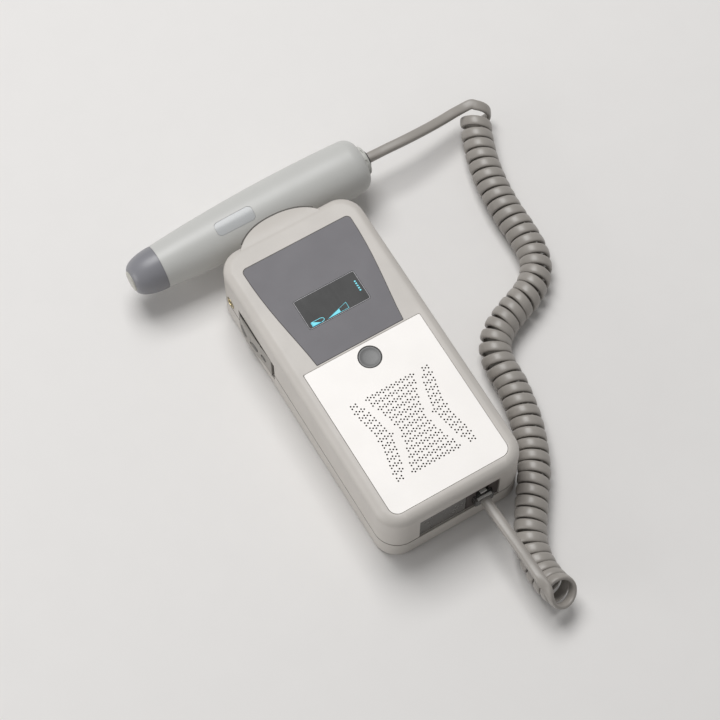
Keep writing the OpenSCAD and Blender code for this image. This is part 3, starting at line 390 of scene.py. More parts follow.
def finish(context, slot):
    """The material of one of the record's slots."""
    tint = context.scene.doppler_colours
    makers = {
        "case": lambda: moulded("Shell plastic", tint.case, grain=1800.0, depth=0.03),
        "plate": lambda: moulded("Plate enamel", tint.plate, drift=0.015, rough=(0.3, 0.38), depth=0.006),
        "overlay": lambda: moulded("Display film", tint.overlay, rough=(0.4, 0.48), grain=3500.0,
                                   Specular_IOR_Level=0.3),
        "window": lambda: glossy("Window glass", tint.window, rough=(0.3, 0.4), Specular_IOR_Level=0.15),
        "display": lambda: glossy("Display module", linear("3a3d40")),
        "inner_plastic": lambda: moulded("Carrier plastic", linear("e6e4df")),
        "button": lambda: moulded("Button plastic", tint.button, rough=(0.34, 0.42), grain=1500.0,
                                  Specular_IOR_Level=0.35),
        "black_plastic": lambda: moulded("Black plastic", linear("29292b"), rough=(0.35, 0.5)),
        "board": lambda: glossy("Board lacquer", linear("2f6b46"), rough=(0.25, 0.35)),
        "speaker": lambda: moulded("Loudspeaker", linear("3b3b3d"), rough=(0.45, 0.6)),
        "key_rubber": lambda: moulded("Strip rubber", tint.strip, rough=(0.5, 0.62), grain=1600.0),
        "key": lambda: moulded("Key rubber", tint.key, rough=(0.42, 0.55), grain=1600.0),
        "ring": lambda: glossy("Ring brass", tint.brass, rough=(0.2, 0.34), Metallic=1.0),
        "port": lambda: glossy("Port plastic", tint.port, rough=(0.2, 0.34)),
        "cell": lambda: glossy("Cell sleeve", linear("3f6fa3"), rough=(0.2, 0.3)),
        "contact": lambda: glossy("Contact nickel", linear("c4c7ca"), rough=(0.2, 0.35), Metallic=1.0),
        "screw": lambda: glossy("Screw zinc", linear("a4a8ac"), rough=(0.28, 0.42), Metallic=1.0),
        "plug": lambda: glossy("Plug clear", linear("c9c8c4"), rough=(0.05, 0.14),
                               Transmission_Weight=0.9, IOR=1.49),
        "cord": lambda: moulded("Cord jacket", tint.cord, drift=0.04, rough=(0.3, 0.4), grain=1400.0),
        "probe": lambda: moulded("Probe plastic", tint.probe, drift=0.03, rough=(0.38, 0.46), grain=2200.0),
        "nose": lambda: moulded("Nose plastic", tint.nose, rough=(0.32, 0.42)),
        "lens": lambda: moulded("Lens rubber", tint.lens, rough=(0.28, 0.4), depth=0.01),
        "crystal": lambda: glossy("Crystal silvering", linear("d8c9a0"), rough=(0.3, 0.4)),
        "collar": lambda: moulded("Collar plastic", linear("c5c5c0"), rough=(0.34, 0.44)),
        "label": lambda: moulded("Label film", tint.label, drift=0.02, rough=(0.24, 0.3), depth=0.004),
    }
    if slot not in makers:
        raise RuntimeError("no finish for the slot " + slot)
    return makers[slot]()


def wear(context, piece, slot, body, *nodes, material=None):
    """Gives a piece the material of its slot, lets it ride on a body and hides the nodes it stands for."""
    piece.data.materials.append(material or finish(context, slot))
    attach(piece, body)
    if nodes:
        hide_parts(*nodes)
    return piece


def softened(context, node, slot, body, edge, name=None, material=None):
    """A node's own shape with its sharp edges rounded by edge in metres, dressed and riding."""
    piece = soft_edged(node_copy(node), name or node + "_look", edge)
    return wear(context, piece, slot, body, node, material=material)


def turned(context, bm, node, slot, body, crisp=SHARP):
    """A turned or wrapped shape that stands for a node, with even normals, dressed and riding."""
    return wear(context, even_normals(to_piece(bm, node + "_look", crisp)), slot, body, node)


def to_piece(bm, name, crisp=SHARP):
    """A smooth shaded object from a bmesh, with its sharp edges kept crisp."""
    for face in bm.faces:
        face.smooth = True
    mesh = bpy.data.meshes.new(name)
    bm.to_mesh(mesh)
    bm.free()
    mesh.set_sharp_from_angle(angle=crisp)
    piece = bpy.data.objects.new(name, mesh)
    bpy.context.scene.collection.objects.link(piece)
    return piece


def face_middle(node, axis, side):
    """Middle of one face of a node's box, its low face for side 0 and its high face for side 1."""
    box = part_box(node)
    middle = (Vector(box[0]) + Vector(box[1])) / 2
    middle[axis] = box[side][axis]
    return middle


def spans(node):
    """Lengths of a node's box along X, Y and Z, in millimetres."""
    low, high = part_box(node)
    return [(b - a) / MM for a, b in zip(low, high)]


def shifted(outline, start):
    """An outline of (distance along the axis, radius) moved along the axis."""
    return [(start + along, radius) for along, radius in outline]


def even_normals(piece):
    modifier = piece.modifiers.new("Even normals", "WEIGHTED_NORMAL")
    modifier.keep_sharp = True
    return piece


def round_sharp(bm, width, segments=2, sharp=SHARP):
    """Rounds every edge whose faces meet at more than the sharp angle."""
    edges = [e for e in bm.edges if len(e.link_faces) == 2 and e.calc_face_angle(0) > sharp]
    bmesh.ops.bevel(bm, geom=edges, offset=width * MM, offset_type="OFFSET", segments=segments,
                    profile=0.5, affect="EDGES", clamp_overlap=True, material=-1)


def lathe(profile, centre, axis, angle=360.0, steps=64, start=0.0, side=UP, solid=False):
    """Turns a profile of (distance along the axis, radius) in mm; solid ones close on themselves."""
    axis = Vector(axis)
    side = Matrix.Rotation(math.radians(start), 3, axis) @ Vector(side)
    bm = bmesh.new()
    verts = [bm.verts.new(centre + (axis * along + side * radius) * MM) for along, radius in profile]
    edges = [bm.edges.new(pair) for pair in zip(verts, verts[1:])]
    geom = verts + edges
    if solid:
        geom.append(bm.edges.new((verts[-1], verts[0])))
    if angle < 360:
        geom.append(bm.faces.new(verts))
    bmesh.ops.spin(bm, geom=geom, cent=centre, axis=axis, dvec=(0, 0, 0), angle=math.radians(angle),
                   steps=steps, use_merge=angle >= 360, use_duplicate=False)
    bmesh.ops.remove_doubles(bm, verts=bm.verts, dist=MERGE)
    bmesh.ops.recalc_face_normals(bm, faces=bm.faces)
    return bm


def slab(width, length, thickness, corner, top):
    """A flat piece with round corners; top is the middle of its upper face, sizes in mm."""
    bm = bmesh.new()
    bmesh.ops.create_grid(bm, x_segments=1, y_segments=1, size=0.5)
    bmesh.ops.scale(bm, vec=(width * MM, length * MM, 1), verts=bm.verts)
    if corner:
        bmesh.ops.bevel(bm, geom=bm.verts[:], offset=corner * MM, offset_type="OFFSET", segments=6,
                        profile=0.5, affect="VERTICES", clamp_overlap=True, material=-1)
    deepen(bm, thickness)
    bmesh.ops.translate(bm, vec=top, verts=bm.verts)
    return bm


def deepen(bm, thickness):
    """Gives a flat sheet in bm a thickness downwards, in mm."""
    new = bmesh.ops.extrude_face_region(bm, geom=bm.faces[:])["geom"]
    moved = [v for v in new if isinstance(v, bmesh.types.BMVert)]
    bmesh.ops.translate(bm, vec=(0, 0, -thickness * MM), verts=moved)
    bmesh.ops.recalc_face_normals(bm, faces=bm.faces)


def join(bm, other):
    """Adds the second bmesh to the first."""
    mesh = bpy.data.meshes.new("joined")
    other.to_mesh(mesh)
    other.free()
    bm.from_mesh(mesh)
    bpy.data.meshes.remove(mesh)


def loft(bm, rings):
    """Joins rings that have the same number of points into a skin, and closes both ends."""
    for ring, following in zip(rings, rings[1:]):
        for j in range(len(ring)):
            k = (j + 1) % len(ring)
            bm.faces.new((ring[j], ring[k], following[k], following[j]))
    bm.faces.new(rings[0][::-1])
    bm.faces.new(rings[-1])
    bmesh.ops.recalc_face_normals(bm, faces=bm.faces)


def node_copy(node):
    """A merged bmesh of a packed node, its flat faces made whole."""
    mesh = NODES[node].data.copy()
    for attribute in [a for a in mesh.attributes if a.name == "custom_normal"]:
        mesh.attributes.remove(attribute)
    bm = bmesh.new()
    bm.from_mesh(mesh)
    bpy.data.meshes.remove(mesh)
    bmesh.ops.remove_doubles(bm, verts=bm.verts, dist=MERGE)
    bmesh.ops.dissolve_limit(bm, angle_limit=FLAT, verts=bm.verts, edges=bm.edges,
                             delimit={"NORMAL"})
    return bm


def soft_edged(bm, name, width, share=None):
    """An object whose sharp edges are rounded by width in metres, or by width times an edge's share."""
    layer = bm.edges.layers.float.new("bevel_weight_edge")
    for edge in bm.edges:
        if len(edge.link_faces) == 2 and edge.calc_face_angle(0) > SHARP:
            edge[layer] = share(edge) if share else 1.0
    piece = to_piece(bm, name)
    bevel = piece.modifiers.new("Soft edges", "BEVEL")
    bevel.limit_method = "WEIGHT"
    bevel.width = width
    bevel.segments = 2
    bevel.use_clamp_overlap = False
    bevel.harden_normals = False
    return even_normals(piece)


def cut(piece, cutter):
    """Takes the cutter's volume out of the piece and removes the cutter."""
    modifier = piece.modifiers.new("Cut", "BOOLEAN")
    modifier.operation = "DIFFERENCE"
    modifier.solver = "EXACT"
    modifier.material_mode = "TRANSFER"
    modifier.object = cutter
    settle(piece)
    bpy.data.objects.remove(cutter)


def settle(piece):
    """Makes the modifiers' result the piece's own mesh."""
    depsgraph = bpy.context.evaluated_depsgraph_get()
    mesh = bpy.data.meshes.new_from_object(piece.evaluated_get(depsgraph))
    piece.modifiers.clear()
    old = piece.data
    piece.data = mesh
    bpy.data.meshes.remove(old)


class StageOperator(bpy.types.Operator):
    """Sets up the camera, the soft lamps, the room light and the pale table"""
    bl_idname = "doppler.stage"
    bl_label = "Stage"
    # In metres: where the camera looks, the spot that the lamps point at, the lamps' places and sizes,
    # the table, which lies a hair under the doppler, and how far the camera sees
    TARGET = Vector((0.00298, -0.0161, 0.0394))
    LIT_SPOT = Vector((0, 0, 0.02))
    KEY_PLACE = (0.08, 0.7, 1.6)
    KEY_SIZE = 1.0
    SIDE_PLACE = (-0.9, 0.1, 0.2)
    SIDE_SIZE = 0.5
    TABLE_HALF = 4
    TABLE_DROP = 0.0003
    CLIP_END = 50
    # Width of the camera's sensor, in millimetres
    SENSOR = 36

    def execute(self, context):
        stage = context.scene.doppler_stage
        flat = math.cos(stage.rise)
        back = Vector((math.sin(stage.turn) * flat, -math.cos(stage.turn) * flat, math.sin(stage.rise)))
        camera = bpy.data.objects.new("Camera", bpy.data.cameras.new("Camera"))
        camera.data.lens = stage.lens
        camera.data.sensor_width = self.SENSOR
        camera.data.clip_end = self.CLIP_END
        camera.location = self.TARGET + back * stage.distance
        camera.rotation_euler = back.to_track_quat("Z", "Y").to_euler()
        context.scene.collection.objects.link(camera)
        context.scene.camera = camera
        context.scene.view_settings.view_transform = "Standard"
        self.lamp(context, "Soft box overhead", self.KEY_PLACE, self.KEY_SIZE, stage.key_power)
        self.lamp(context, "Soft box left", self.SIDE_PLACE, self.SIDE_SIZE, stage.side_power)
        self.room(context, stage)
        self.table(context, stage)
        return {"FINISHED"}

    def lamp(self, context, name, place, size, power):
        data = bpy.data.lights.new(name, "AREA")
        data.shape = "SQUARE"
        data.size = size
        data.energy = power
        lamp = bpy.data.objects.new(name, data)
        lamp.location = place
        lamp.rotation_euler = (Vector(place) - self.LIT_SPOT).to_track_quat("Z", "Y").to_euler()
        context.scene.collection.objects.link(lamp)

    def room(self, context, stage):
        world = bpy.data.worlds.new("Room")
        world.use_nodes = True
        tree = world.node_tree
        ground = tree.nodes["Background"]
        ground.inputs["Color"].default_value = (1, 1, 1, 1)
        ground.inputs["Strength"].default_value = stage.sky
        seen = tree.nodes.new("ShaderNodeBackground")
        seen.inputs["Color"].default_value = (*stage.floor, 1)
        path = tree.nodes.new("ShaderNodeLightPath")
        mix = tree.nodes.new("ShaderNodeMixShader")
        tree.links.new(path.outputs["Is Camera Ray"], mix.inputs["Fac"])
        tree.links.new(ground.outputs["Background"], mix.inputs[1])
        tree.links.new(seen.outputs["Background"], mix.inputs[2])
        tree.links.new(mix.outputs["Shader"], tree.nodes["World Output"].inputs["Surface"])
        context.scene.world = world

    def table(self, context, stage):
        bm = bmesh.new()
        bmesh.ops.create_grid(bm, x_segments=8, y_segments=8, size=self.TABLE_HALF)
        bmesh.ops.translate(bm, vec=(0, 0, -self.TABLE_DROP), verts=bm.verts)
        floor = to_piece(bm, "Table")
        floor.data.materials.append(moulded("Table paper", stage.floor, drift=0.01, rough=(0.8, 0.9),
                                            grain=900.0, depth=0.01, Specular_IOR_Level=0.1))


# The cord's route in the frame, in millimetres, as in the part's source
COIL_AXIS = (
    (124.9, 80.8, 9.2), (121.8, 75, 8.2), (118.3, 68, 7.7), (113.6, 55, 7.7), (110.6, 41, 7.7),
    (109.2, 27, 7.7), (109, 13, 7.7), (107.6, 1, 7.7), (103, -8, 7.7), (94.5, -14.5, 7.7),
    (83, -19, 7.7), (73, -24, 7.7), (66.5, -31, 7.7), (64, -40, 7.7), (63.6, -49, 7.7),
    (62, -58, 7.7), (59.4, -69, 7.7), (55.2, -80, 7.7), (50.1, -90.3, 7.7), (43.8, -99, 7.7),
    (38, -107, 7.7), (32.5, -115, 7.7), (29.4, -121.5, 7.7), (27.8, -128, 8), (27.1, -134.6, 9),
    (27.1, -140.7, 11.2), (27.5, -145.9, 14.4), (27.8, -148.2, 16.3),
)
PLUG_STRETCH = (
    (20.4, -95.05, 20.1), (20.4, -96.25, 20.1), (20.6, -104, 20.6), (20.9, -114, 20.9),
    (21.2, -123, 21), (21.4, -132, 21), (21.4, -139, 21.6), (21.6, -144.4, 20.8),
)
PROBE_STRETCH = (
    (63.45, 79.25, 20.05), (64.65, 79.25, 20.05), (74, 79.1, 20), (85, 79, 19.5),
    (97, 79.9, 17.6), (106, 80.9, 16.1), (112.5, 81.6, 15.5), (118.6, 81.9, 15.2),
)
# The source's round cord, from which the number of curls follows
SOURCE_CORD = 4.4
SOURCE_CURL = 5.4
CURL_GAP = 0.62
OPEN_SHARE = 0.55
OPEN_LENGTH = 10
END_TURN = 0.75
# Bends of the coil are taken over so many points each way, and up to this many per millimetre
BEND_SPAN = 3
MOST_BEND = 0.12
# How far before the coil the free stretches take its direction
LEAD_IN = 2.4
TAIL_IN = 3.0
# Lengths over which they turn into the curls, and take the flat form from their round end
TURN_LENGTH = 14
FORM_LENGTH = 9
# Parts of a smooth line between two points of the coil's axis, and of a free stretch
AXIS_PARTS = 8
STRETCH_PARTS = 6


def between(a, b, c, d, t):
    """A point of the smooth curve from b to c."""
    return 0.5 * (2 * b + (c - a) * t + (2 * a - 5 * b + 4 * c - d) * t * t
                  + (3 * b - a - 3 * c + d) * t * t * t)


def smooth_line(points, steps):
    """A smooth curve through points, with steps parts between neighbours."""
    ends = [2 * points[0] - points[1]] + list(points) + [2 * points[-1] - points[-2]]
    line = []
    for i in range(len(points) - 1):
        line += [between(*ends[i:i + 4], j / steps) for j in range(steps)]
    return line + [points[-1]]


def ease(share):
    """A share from 0 to 1 that starts and ends gently."""
    share = min(max(share, 0.0), 1.0)
    return share * share * (3 - 2 * share)


class CurlLine:
    """The curly part of the cord: places at any number of curls from the probe's end."""

    def __init__(self, radius):
        self.radius = radius
        line = smooth_line([Vector(p) for p in COIL_AXIS], AXIS_PARTS)
        last = len(line) - 1
        ways = [(line[min(i + 1, last)] - line[max(i - 1, 0)]).normalized() for i in range(last + 1)]
        bends, opened, wanted, even, walked = [], [], [0.0], [0.0], 0.0
        for i in range(last + 1):
            low, high = max(i - BEND_SPAN, 0), min(i + BEND_SPAN, last)
            bends.append((ways[high] - ways[low]) / (line[high] - line[low]).length)
            opened.append(1 + OPEN_SHARE * math.exp(-(walked / OPEN_LENGTH) ** 2))
            if i == last:
                break
            step = (line[i + 1] - line[i]).length
            bend = min(bends[i].length, MOST_BEND)
            pitch = (SOURCE_CORD + CURL_GAP) * opened[i] / (1 - SOURCE_CURL * bend)
            wanted.append(wanted[-1] + step / pitch)
            even.append(even[-1] + step / opened[i])
            walked += step
        self.curls = math.floor(wanted[-1] - END_TURN) + END_TURN
        self.turns = [t * self.curls / even[-1] for t in even]
        self.pitches = [o * even[-1] / self.curls for o in opened]
        self.line, self.ways, self.bends = line, ways, bends

    def look_up(self, table, curl):
        """The value of one of the line's tables at a number of curls."""
        i = next((k for k in range(len(self.turns) - 2) if self.turns[k + 1] >= curl), len(self.turns) - 2)
        share = (curl - self.turns[i]) / (self.turns[i + 1] - self.turns[i])
        return table[i] + (table[i + 1] - table[i]) * share

    def place(self, curl):
        """The cord's middle, the direction out of the coil and the room between the neighbours."""
        way = self.look_up(self.ways, curl).normalized()
        side = UP.cross(way).normalized()
        angle = math.tau * curl
        out = side * math.sin(angle) + way.cross(side) * math.cos(angle)
        bend = self.look_up(self.bends, curl)
        room = self.look_up(self.pitches, curl) * (1 - self.radius * bend.dot(out))
        return self.look_up(self.line, curl) + self.radius * out, out, room


class CordOperator(bpy.types.Operator):
    """Lays the one-piece flat cord from the probe through its curls to the clear plug"""
    bl_idname = "doppler.cord"
    bl_label = "Curly cord"
    # Share of a curl that gives the direction at the coil's ends
    NUDGE = 0.004
    # Rounding of the plug's and the latch's edges, in millimetres
    PLUG_EDGE = 0.35
    LATCH_EDGE = 0.2

    def execute(self, context):
        sizes = context.scene.doppler_cord
        plug = softened(context, "cord_plug", "plug", "main", self.PLUG_EDGE * MM)
        # The latch's pale, less clear plastic is partly a painted highlight
        latch = softened(context, "plug_latch", "plug", "plug_latch", self.LATCH_EDGE * MM,
                         material=clear_with_painted_highlight())
        route = self.route(sizes)
        points = [place * MM for place, out, width, thick in route]
        ways = [(b - a).normalized() for a, b in zip(points[:1] + points, points[1:] + points[-1:])]
        bm = bmesh.new()
        loft(bm, [self.ring(bm, sizes, *spot) for spot in zip(points, ways, route)])
        cord = to_piece(bm, "curly_cord", math.radians(60))
        cord.data.materials.append(finish(context, "cord"))
        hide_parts("plug_cord", "coiled_cord", "probe_cord")
        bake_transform(cord, "main", "probe", start=(0, -0.02, 0), end=(0, 0.074, 0))
        length = sum((b - a).length for a, b in zip(points, points[1:]))
        Vector(PROBE_STRETCH[0]) * MM
        return {"FINISHED"}

    def ring(self, bm, sizes, point, way, spot):
        """Corners of the cord's section round a point of its middle line."""
        place, out, width, thick = spot
        flat = (out - way * out.dot(way)).normalized()
        wide = way.cross(flat)
        return [bm.verts.new(point + (wide * u * width + flat * v * thick) * MM / 2)
                for u, v in self.section(sizes)]

    def section(self, sizes):
        """Outline of the flat cord between -1 and 1, a rectangle with well rounded corners."""
        power = 2 / sizes.squareness
        for i in range(sizes.sides):
            angle = math.tau * (i + 0.5) / sizes.sides
            yield tuple(math.copysign(abs(c) ** power, c) for c in (math.cos(angle), math.sin(angle)))

    def route(self, sizes):
        """Places from the collar to the plug in mm, each with its outer side, width and thickness."""
        width, thick = sizes.width / MM, sizes.thick / MM
        coil = CurlLine(sizes.curl / MM)
        count = int(coil.curls * sizes.curl_steps)
        curls = []
        for i in range(count + 1):
            place, out, room = coil.place(i / sizes.curl_steps)
            curls.append((place, out, min(width, room - sizes.crease / MM), thick))
        first = (coil.place(self.NUDGE)[0] - curls[0][0]).normalized()
        last = (curls[-1][0] - coil.place(coil.curls - self.NUDGE)[0]).normalized()
        lead = self.free_stretch(sizes, PROBE_STRETCH, curls[0], curls[0][0] - first * LEAD_IN)
        tail = self.free_stretch(sizes, PLUG_STRETCH, curls[-1], curls[-1][0] + last * TAIL_IN)
        return lead + curls + tail[::-1]

    def free_stretch(self, sizes, places, joint, before):
        """A stretch up to the coil, rounder at its plug or collar and turned flat side up."""
        width, thick, round_size = sizes.width / MM, sizes.free_thick / MM, sizes.end / MM
        exit_place, *rest = [Vector(p) for p in places] + [before, joint[0]]
        line = [exit_place] + smooth_line(rest, STRETCH_PARTS)[:-1]
        left = sum((b - a).length for a, b in zip(line, line[1:]))
        whole = left
        stretch = []
        for i, place in enumerate(line):
            left -= (place - line[i - 1]).length if i else 0
            flat_up = ease(left / TURN_LENGTH)
            formed = ease((whole - left) / FORM_LENGTH)
            out = (joint[1] * (1 - flat_up) + UP * flat_up).normalized()
            depth = round_size + (thick - round_size) * formed
            stretch.append((place, out, round_size + (width - round_size) * formed,
                            depth * flat_up + sizes.thick / MM * (1 - flat_up)))
        return stretch


class CaseOperator(bpy.types.Operator):
    """Rounds the two case shells, the battery door and the case screws, with the seam's groove in a painted
    shade and a dark lip of painted shadow at the probe's holder
    """
    bl_idname = "doppler.case"
    bl_label = "Case shells"
    # A corner outside looks sideways by this share or more, and within this of the seam, in metres, is on it
    SIDEWAYS = 0.2
    LEVEL = 2e-5
    # Rounding of a screw's edges, in millimetres
    SCREW_EDGE = 0.1
    # The painted shadow lip's section in millimetres: behind the rim, below the slope inside and outside,
    # and depth
    LIP_BACK = 0.4
    LIP_DROP_IN = 0.04
    LIP_DROP_OUT = 0.1
    LIP_DEPTH = 1.2
    LIP_PARTS = 40

    def execute(self, context):
        sizes = context.scene.doppler_case
        # Painted shade: the seam's groove takes a darker colour that stands for the shade in the narrow gap
        # between the shells
        shade = moulded("Seam painted shade", linear("86817a"), rough=(0.6, 0.7))
        for node in ("front_shell", "rear_shell"):
            bm = node_copy(node)
            bm.normal_update()
            seam = bm.edges.layers.float.new("seam_edge")
            for edge in bm.edges:
                edge[seam] = 1.0 if self.at_seam(edge) else 0.0
            shell = soft_edged(bm, node + "_look", sizes.edge, lambda edge: 1.0 - edge[seam])
            groove = shell.modifiers.new("Seam groove", "BEVEL")
            groove.limit_method = "WEIGHT"
            groove.edge_weight = "seam_edge"
            groove.width = sizes.seam
            groove.segments = 1
            # The groove's faces take the second material, the painted seam shade
            groove.material = 1
            groove.use_clamp_overlap = False
            shell.modifiers.move(2, 0)
            wear(context, shell, "case", "main", node)
            shell.data.materials.append(shade)
        self.painted_shadow_lip(context, sizes)
        softened(context, "battery_door", "case", "battery_door", sizes.edge)
        for i in range(1, 5):
            softened(context, "case_screw_%d" % i, "screw", "main", self.SCREW_EDGE * MM)
        return {"FINISHED"}

    def at_seam(self, edge):
        """Whether an edge lies on the outside where the shells meet."""
        outside = max(v.normal.xy.length for v in edge.verts) > self.SIDEWAYS
        level = all(abs(v.co.z - SEAM_Z * MM) < self.LEVEL for v in edge.verts)
        return outside and level

    def painted_shadow_lip(self, context, sizes):
        """A thin dark lip along the rim of the holder's front ear, against the probe, a painted shadow that
        stands for the shade in the gap there.
        """
        bm = bmesh.new()
        rings = []
        inner, outer = EAR_R - self.LIP_BACK, EAR_R + sizes.lip / MM
        for turn in steps_between(-EAR_TURN, EAR_TURN, self.LIP_PARTS):
            out = Vector((math.sin(math.radians(turn)), math.cos(math.radians(turn)), 0))
            top = EAR_SLOPE_Z + math.sqrt(EAR_SLOPE_R ** 2 - (EAR_Y + EAR_R * out.y - EAR_SLOPE_Y) ** 2)
            low = top - self.LIP_DEPTH
            section = ((inner, top - self.LIP_DROP_IN), (outer, top - self.LIP_DROP_OUT),
                       (outer, low), (inner, low))
            rings.append([bm.verts.new(at(EAR_X + out.x * r, EAR_Y + out.y * r, z)) for r, z in section])
        loft(bm, rings)
        # The lip's dark colour is a painted shadow of the gap, not the colour of a real part
        rubber = moulded("Painted shadow lip", linear("55524d"), rough=(0.55, 0.65))
        wear(context, to_piece(bm, "probe_holder_shadow_lip"), "case", "main", material=rubber)


class GrillePlateOperator(bpy.types.Operator):
    """Makes the pale plate with its rows of small sound holes"""
    bl_idname = "doppler.grille_plate"
    bl_label = "Pierced plate"
    # Last place of the block in each band away from the middle, and the bands whose outer rows are wider
    BLOCK_ENDS = (5, 6, 6, 7, 8, 9, 10)
    WIDE_OUTER_ROWS = (0, 2, 3, 5)
    MIDDLE_BAND_Y = -5.11
    # Middle of the side strips in half pitches: in the middle band, and its drift and curve outwards
    STRIP_START = 11.4
    STRIP_DRIFT = 0.43
    STRIP_CURVE = 0.031
    # Places of the side strips' outer and middle rows, from the strip's middle, in each band outwards
    STRIP_ROWS = (((-2, 0, 2), (-3, -1, 1, 3)),) + (((-2, 0, 2), (-1, 1)),) * 4 + (
        ((-1, 1), (-2, 0, 2)), ((-1, 1), (0,)))
    # Sides of a hole, how far its drill starts above the plate in metres, and the least faces drilled
    HOLE_SIDES = 10
    ABOVE = 0.0004
    LEAST_FACES = 3000

    def holes(self, sizes):
        """Middles of all sound holes, in metres from the plate's middle."""
        last_band = len(self.BLOCK_ENDS) - 1
        for band in range(-last_band, last_band + 1):
            n = abs(band)
            end = self.BLOCK_ENDS[n]
            outer_end, middle_end = (end, end - 1) if n in self.WIDE_OUTER_ROWS else (end - 1, end)
            strip = self.STRIP_START + self.STRIP_DRIFT * n + self.STRIP_CURVE * n * n
            strip_outer, strip_middle = self.STRIP_ROWS[n]
            y = self.MIDDLE_BAND_Y * MM + band * sizes.band_pitch
            for row in (-1, 0, 1):
                last = outer_end if row else middle_end
                places = list(range(-last, last + 1, 2))
                for p in (strip_outer if row else strip_middle):
                    places += [strip + p, -strip - p]
                for p in places:
                    yield p * sizes.half_pitch, y + row * sizes.row_step

    def execute(self, context):
        sizes = context.scene.doppler_plate
        plate = to_piece(node_copy("grille_plate"), "grille_plate_look")
        wear(context, plate, "plate", "main", "grille_plate")
        drill = bmesh.new()
        for x, y in self.holes(sizes):
            place = Matrix.Translation(at(0, 0, FACE_Z) + Vector((x, y, (self.ABOVE - sizes.depth) / 2)))
            bmesh.ops.create_cone(drill, cap_ends=True, segments=self.HOLE_SIDES, radius1=sizes.hole / 2,
                                  radius2=sizes.hole / 2, depth=sizes.depth + self.ABOVE, matrix=place)
        cutter = to_piece(drill, "sound_holes")
        # The holes' walls and floors take a dark brown: painted shade in the small holes, and the dark
        # inside behind the plate
        cutter.data.materials.append(moulded("Hole inside painted shade", linear("6a5444"), rough=(0.6, 0.7)))
        cut(plate, cutter)
        if len(plate.data.polygons) < self.LEAST_FACES:
            raise RuntimeError("the sound holes were not drilled")
        plate.data.set_sharp_from_angle(angle=SHARP)
        even_normals(plate)
        return {"FINISHED"}


class DisplayOperator(bpy.types.Operator):
    """Makes the grey film, the window with its pale border and the lit signs in it"""
    bl_idname = "doppler.display"
    bl_label = "Display panel"
    # Rounding of the film's edges, then the window's thickness, round corners and border, in millimetres
    FILM_EDGE = 0.12
    THICK = 0.8
    CORNER = 0.9
    BORDER = 0.22
    # Signs in millimetres from the plate's middle: battery with its charge, wedge with its level, dots
    BATTERY = ((-14.2, 57.3), (-9.2, 57.3), (-8.2, 57.7), (-7.8, 58.4), (-8.2, 59.2), (-9.2, 59.6),
               (-14.2, 59.6))
    CHARGE = ((-14.4, 57.3), (-9.6, 57.3), (-13.4, 59.4), (-14.4, 59.4))
    WEDGE = ((-6.7, 57.3), (4.5, 57.3), (4.5, 60.6))
    LEVEL = ((-6.7, 57.3), (0.2, 57.3), (0.2, 59.3))
    LINE = 0.28
    SIGN_RISE = 0.03
    DOTS = 5
    DOT_STEP = 1.25
    DOT_LEFT = 12.9
    DOT_RIGHT = 13.7
    DOT_LOW = 67.05
    DOT_HIGH = 67.75

    def execute(self, context):
        tint = context.scene.doppler_colours
        softened(context, "display_overlay", "overlay", "main", self.FILM_EDGE * MM,
                 name="display_film")
        width, length, depth = spans("display_window")
        bm = slab(width, length, self.THICK, self.CORNER, face_middle("display_window", 2, 1))
        top = [f for f in bm.faces if f.normal.z > UPWARD]
        bmesh.ops.inset_region(bm, faces=top, thickness=self.BORDER * MM, depth=0)
        for face in bm.faces:
            face.material_index = 1
        for face in top:
            face.material_index = 0
        window = wear(context, to_piece(bm, "display_glass"), "window", "main", "display_window")
        window.data.materials.append(moulded("Window border", tint.border, rough=(0.3, 0.4)))
        self.signs(context, tint)
        return {"FINISHED"}

    def signs(self, context, tint):
        shapes = [(self.BATTERY, self.LINE), (self.CHARGE, 0), (self.WEDGE, self.LINE), (self.LEVEL, 0)]
        for i in range(self.DOTS):
            low, high = self.DOT_LOW - i * self.DOT_STEP, self.DOT_HIGH - i * self.DOT_STEP
            shapes.append((((self.DOT_LEFT, low), (self.DOT_RIGHT, low), (self.DOT_RIGHT, high),
                            (self.DOT_LEFT, high)), 0))
        bm = bmesh.new()
        for corners, line in shapes:
            join(bm, self.sign(corners, line))
        signs = to_piece(bm, "display_signs")
        wear(context, signs, "window", "main", material=lit("Lit signs", tint.signs))

    def sign(self, corners, line):
        """A flat sign on the window; with a line width only its outline is kept."""
        bm = bmesh.new()
        face = bm.faces.new([bm.verts.new(at(x, y, FACE_Z + self.SIGN_RISE)) for x, y in corners])
        face.normal_update()
        if line:
            bmesh.ops.inset_region(bm, faces=[face], thickness=line * MM, depth=0, use_boundary=True)
            bmesh.ops.delete(bm, geom=[face], context="FACES")
        deepen(bm, self.SIGN_RISE)
        return bm


class PowerButtonOperator(bpy.types.Operator):
    """Turns the round button with its dished top, flange and stem"""
    bl_idname = "doppler.power_button"
    bl_label = "Round button"
    # Height over the stem and thickness of the flange, and the radii, in millimetres
    CAP = 4.0
    FLANGE = 1
    STEM_R = 2
    FLANGE_R = 6.6
    CAP_R = 5.25
    # Outline of the dished top: how far from the top, and radius
    TOP = ((-0.35, CAP_R), (-0.1, 5.15), (0, 4.9), (0, 4.5), (-0.25, 4.1), (-0.38, 3.0), (-0.47, 1.5),
           (-0.5, 0))

    def execute(self, context):
        height = spans("power_button")[2]
        stem = height - self.CAP
        profile = [(0, 0), (0, self.STEM_R), (stem, self.STEM_R), (stem, self.FLANGE_R),
                   (stem + self.FLANGE, self.FLANGE_R), (stem + self.FLANGE, self.CAP_R)]
        profile += shifted(self.TOP, height)
        bm = lathe(profile, face_middle("power_button", 2, 0), (0, 0, 1), side=Vector((1, 0, 0)))
        turned(context, bm, "power_button", "button", "power_button", crisp=math.radians(50))
        return {"FINISHED"}


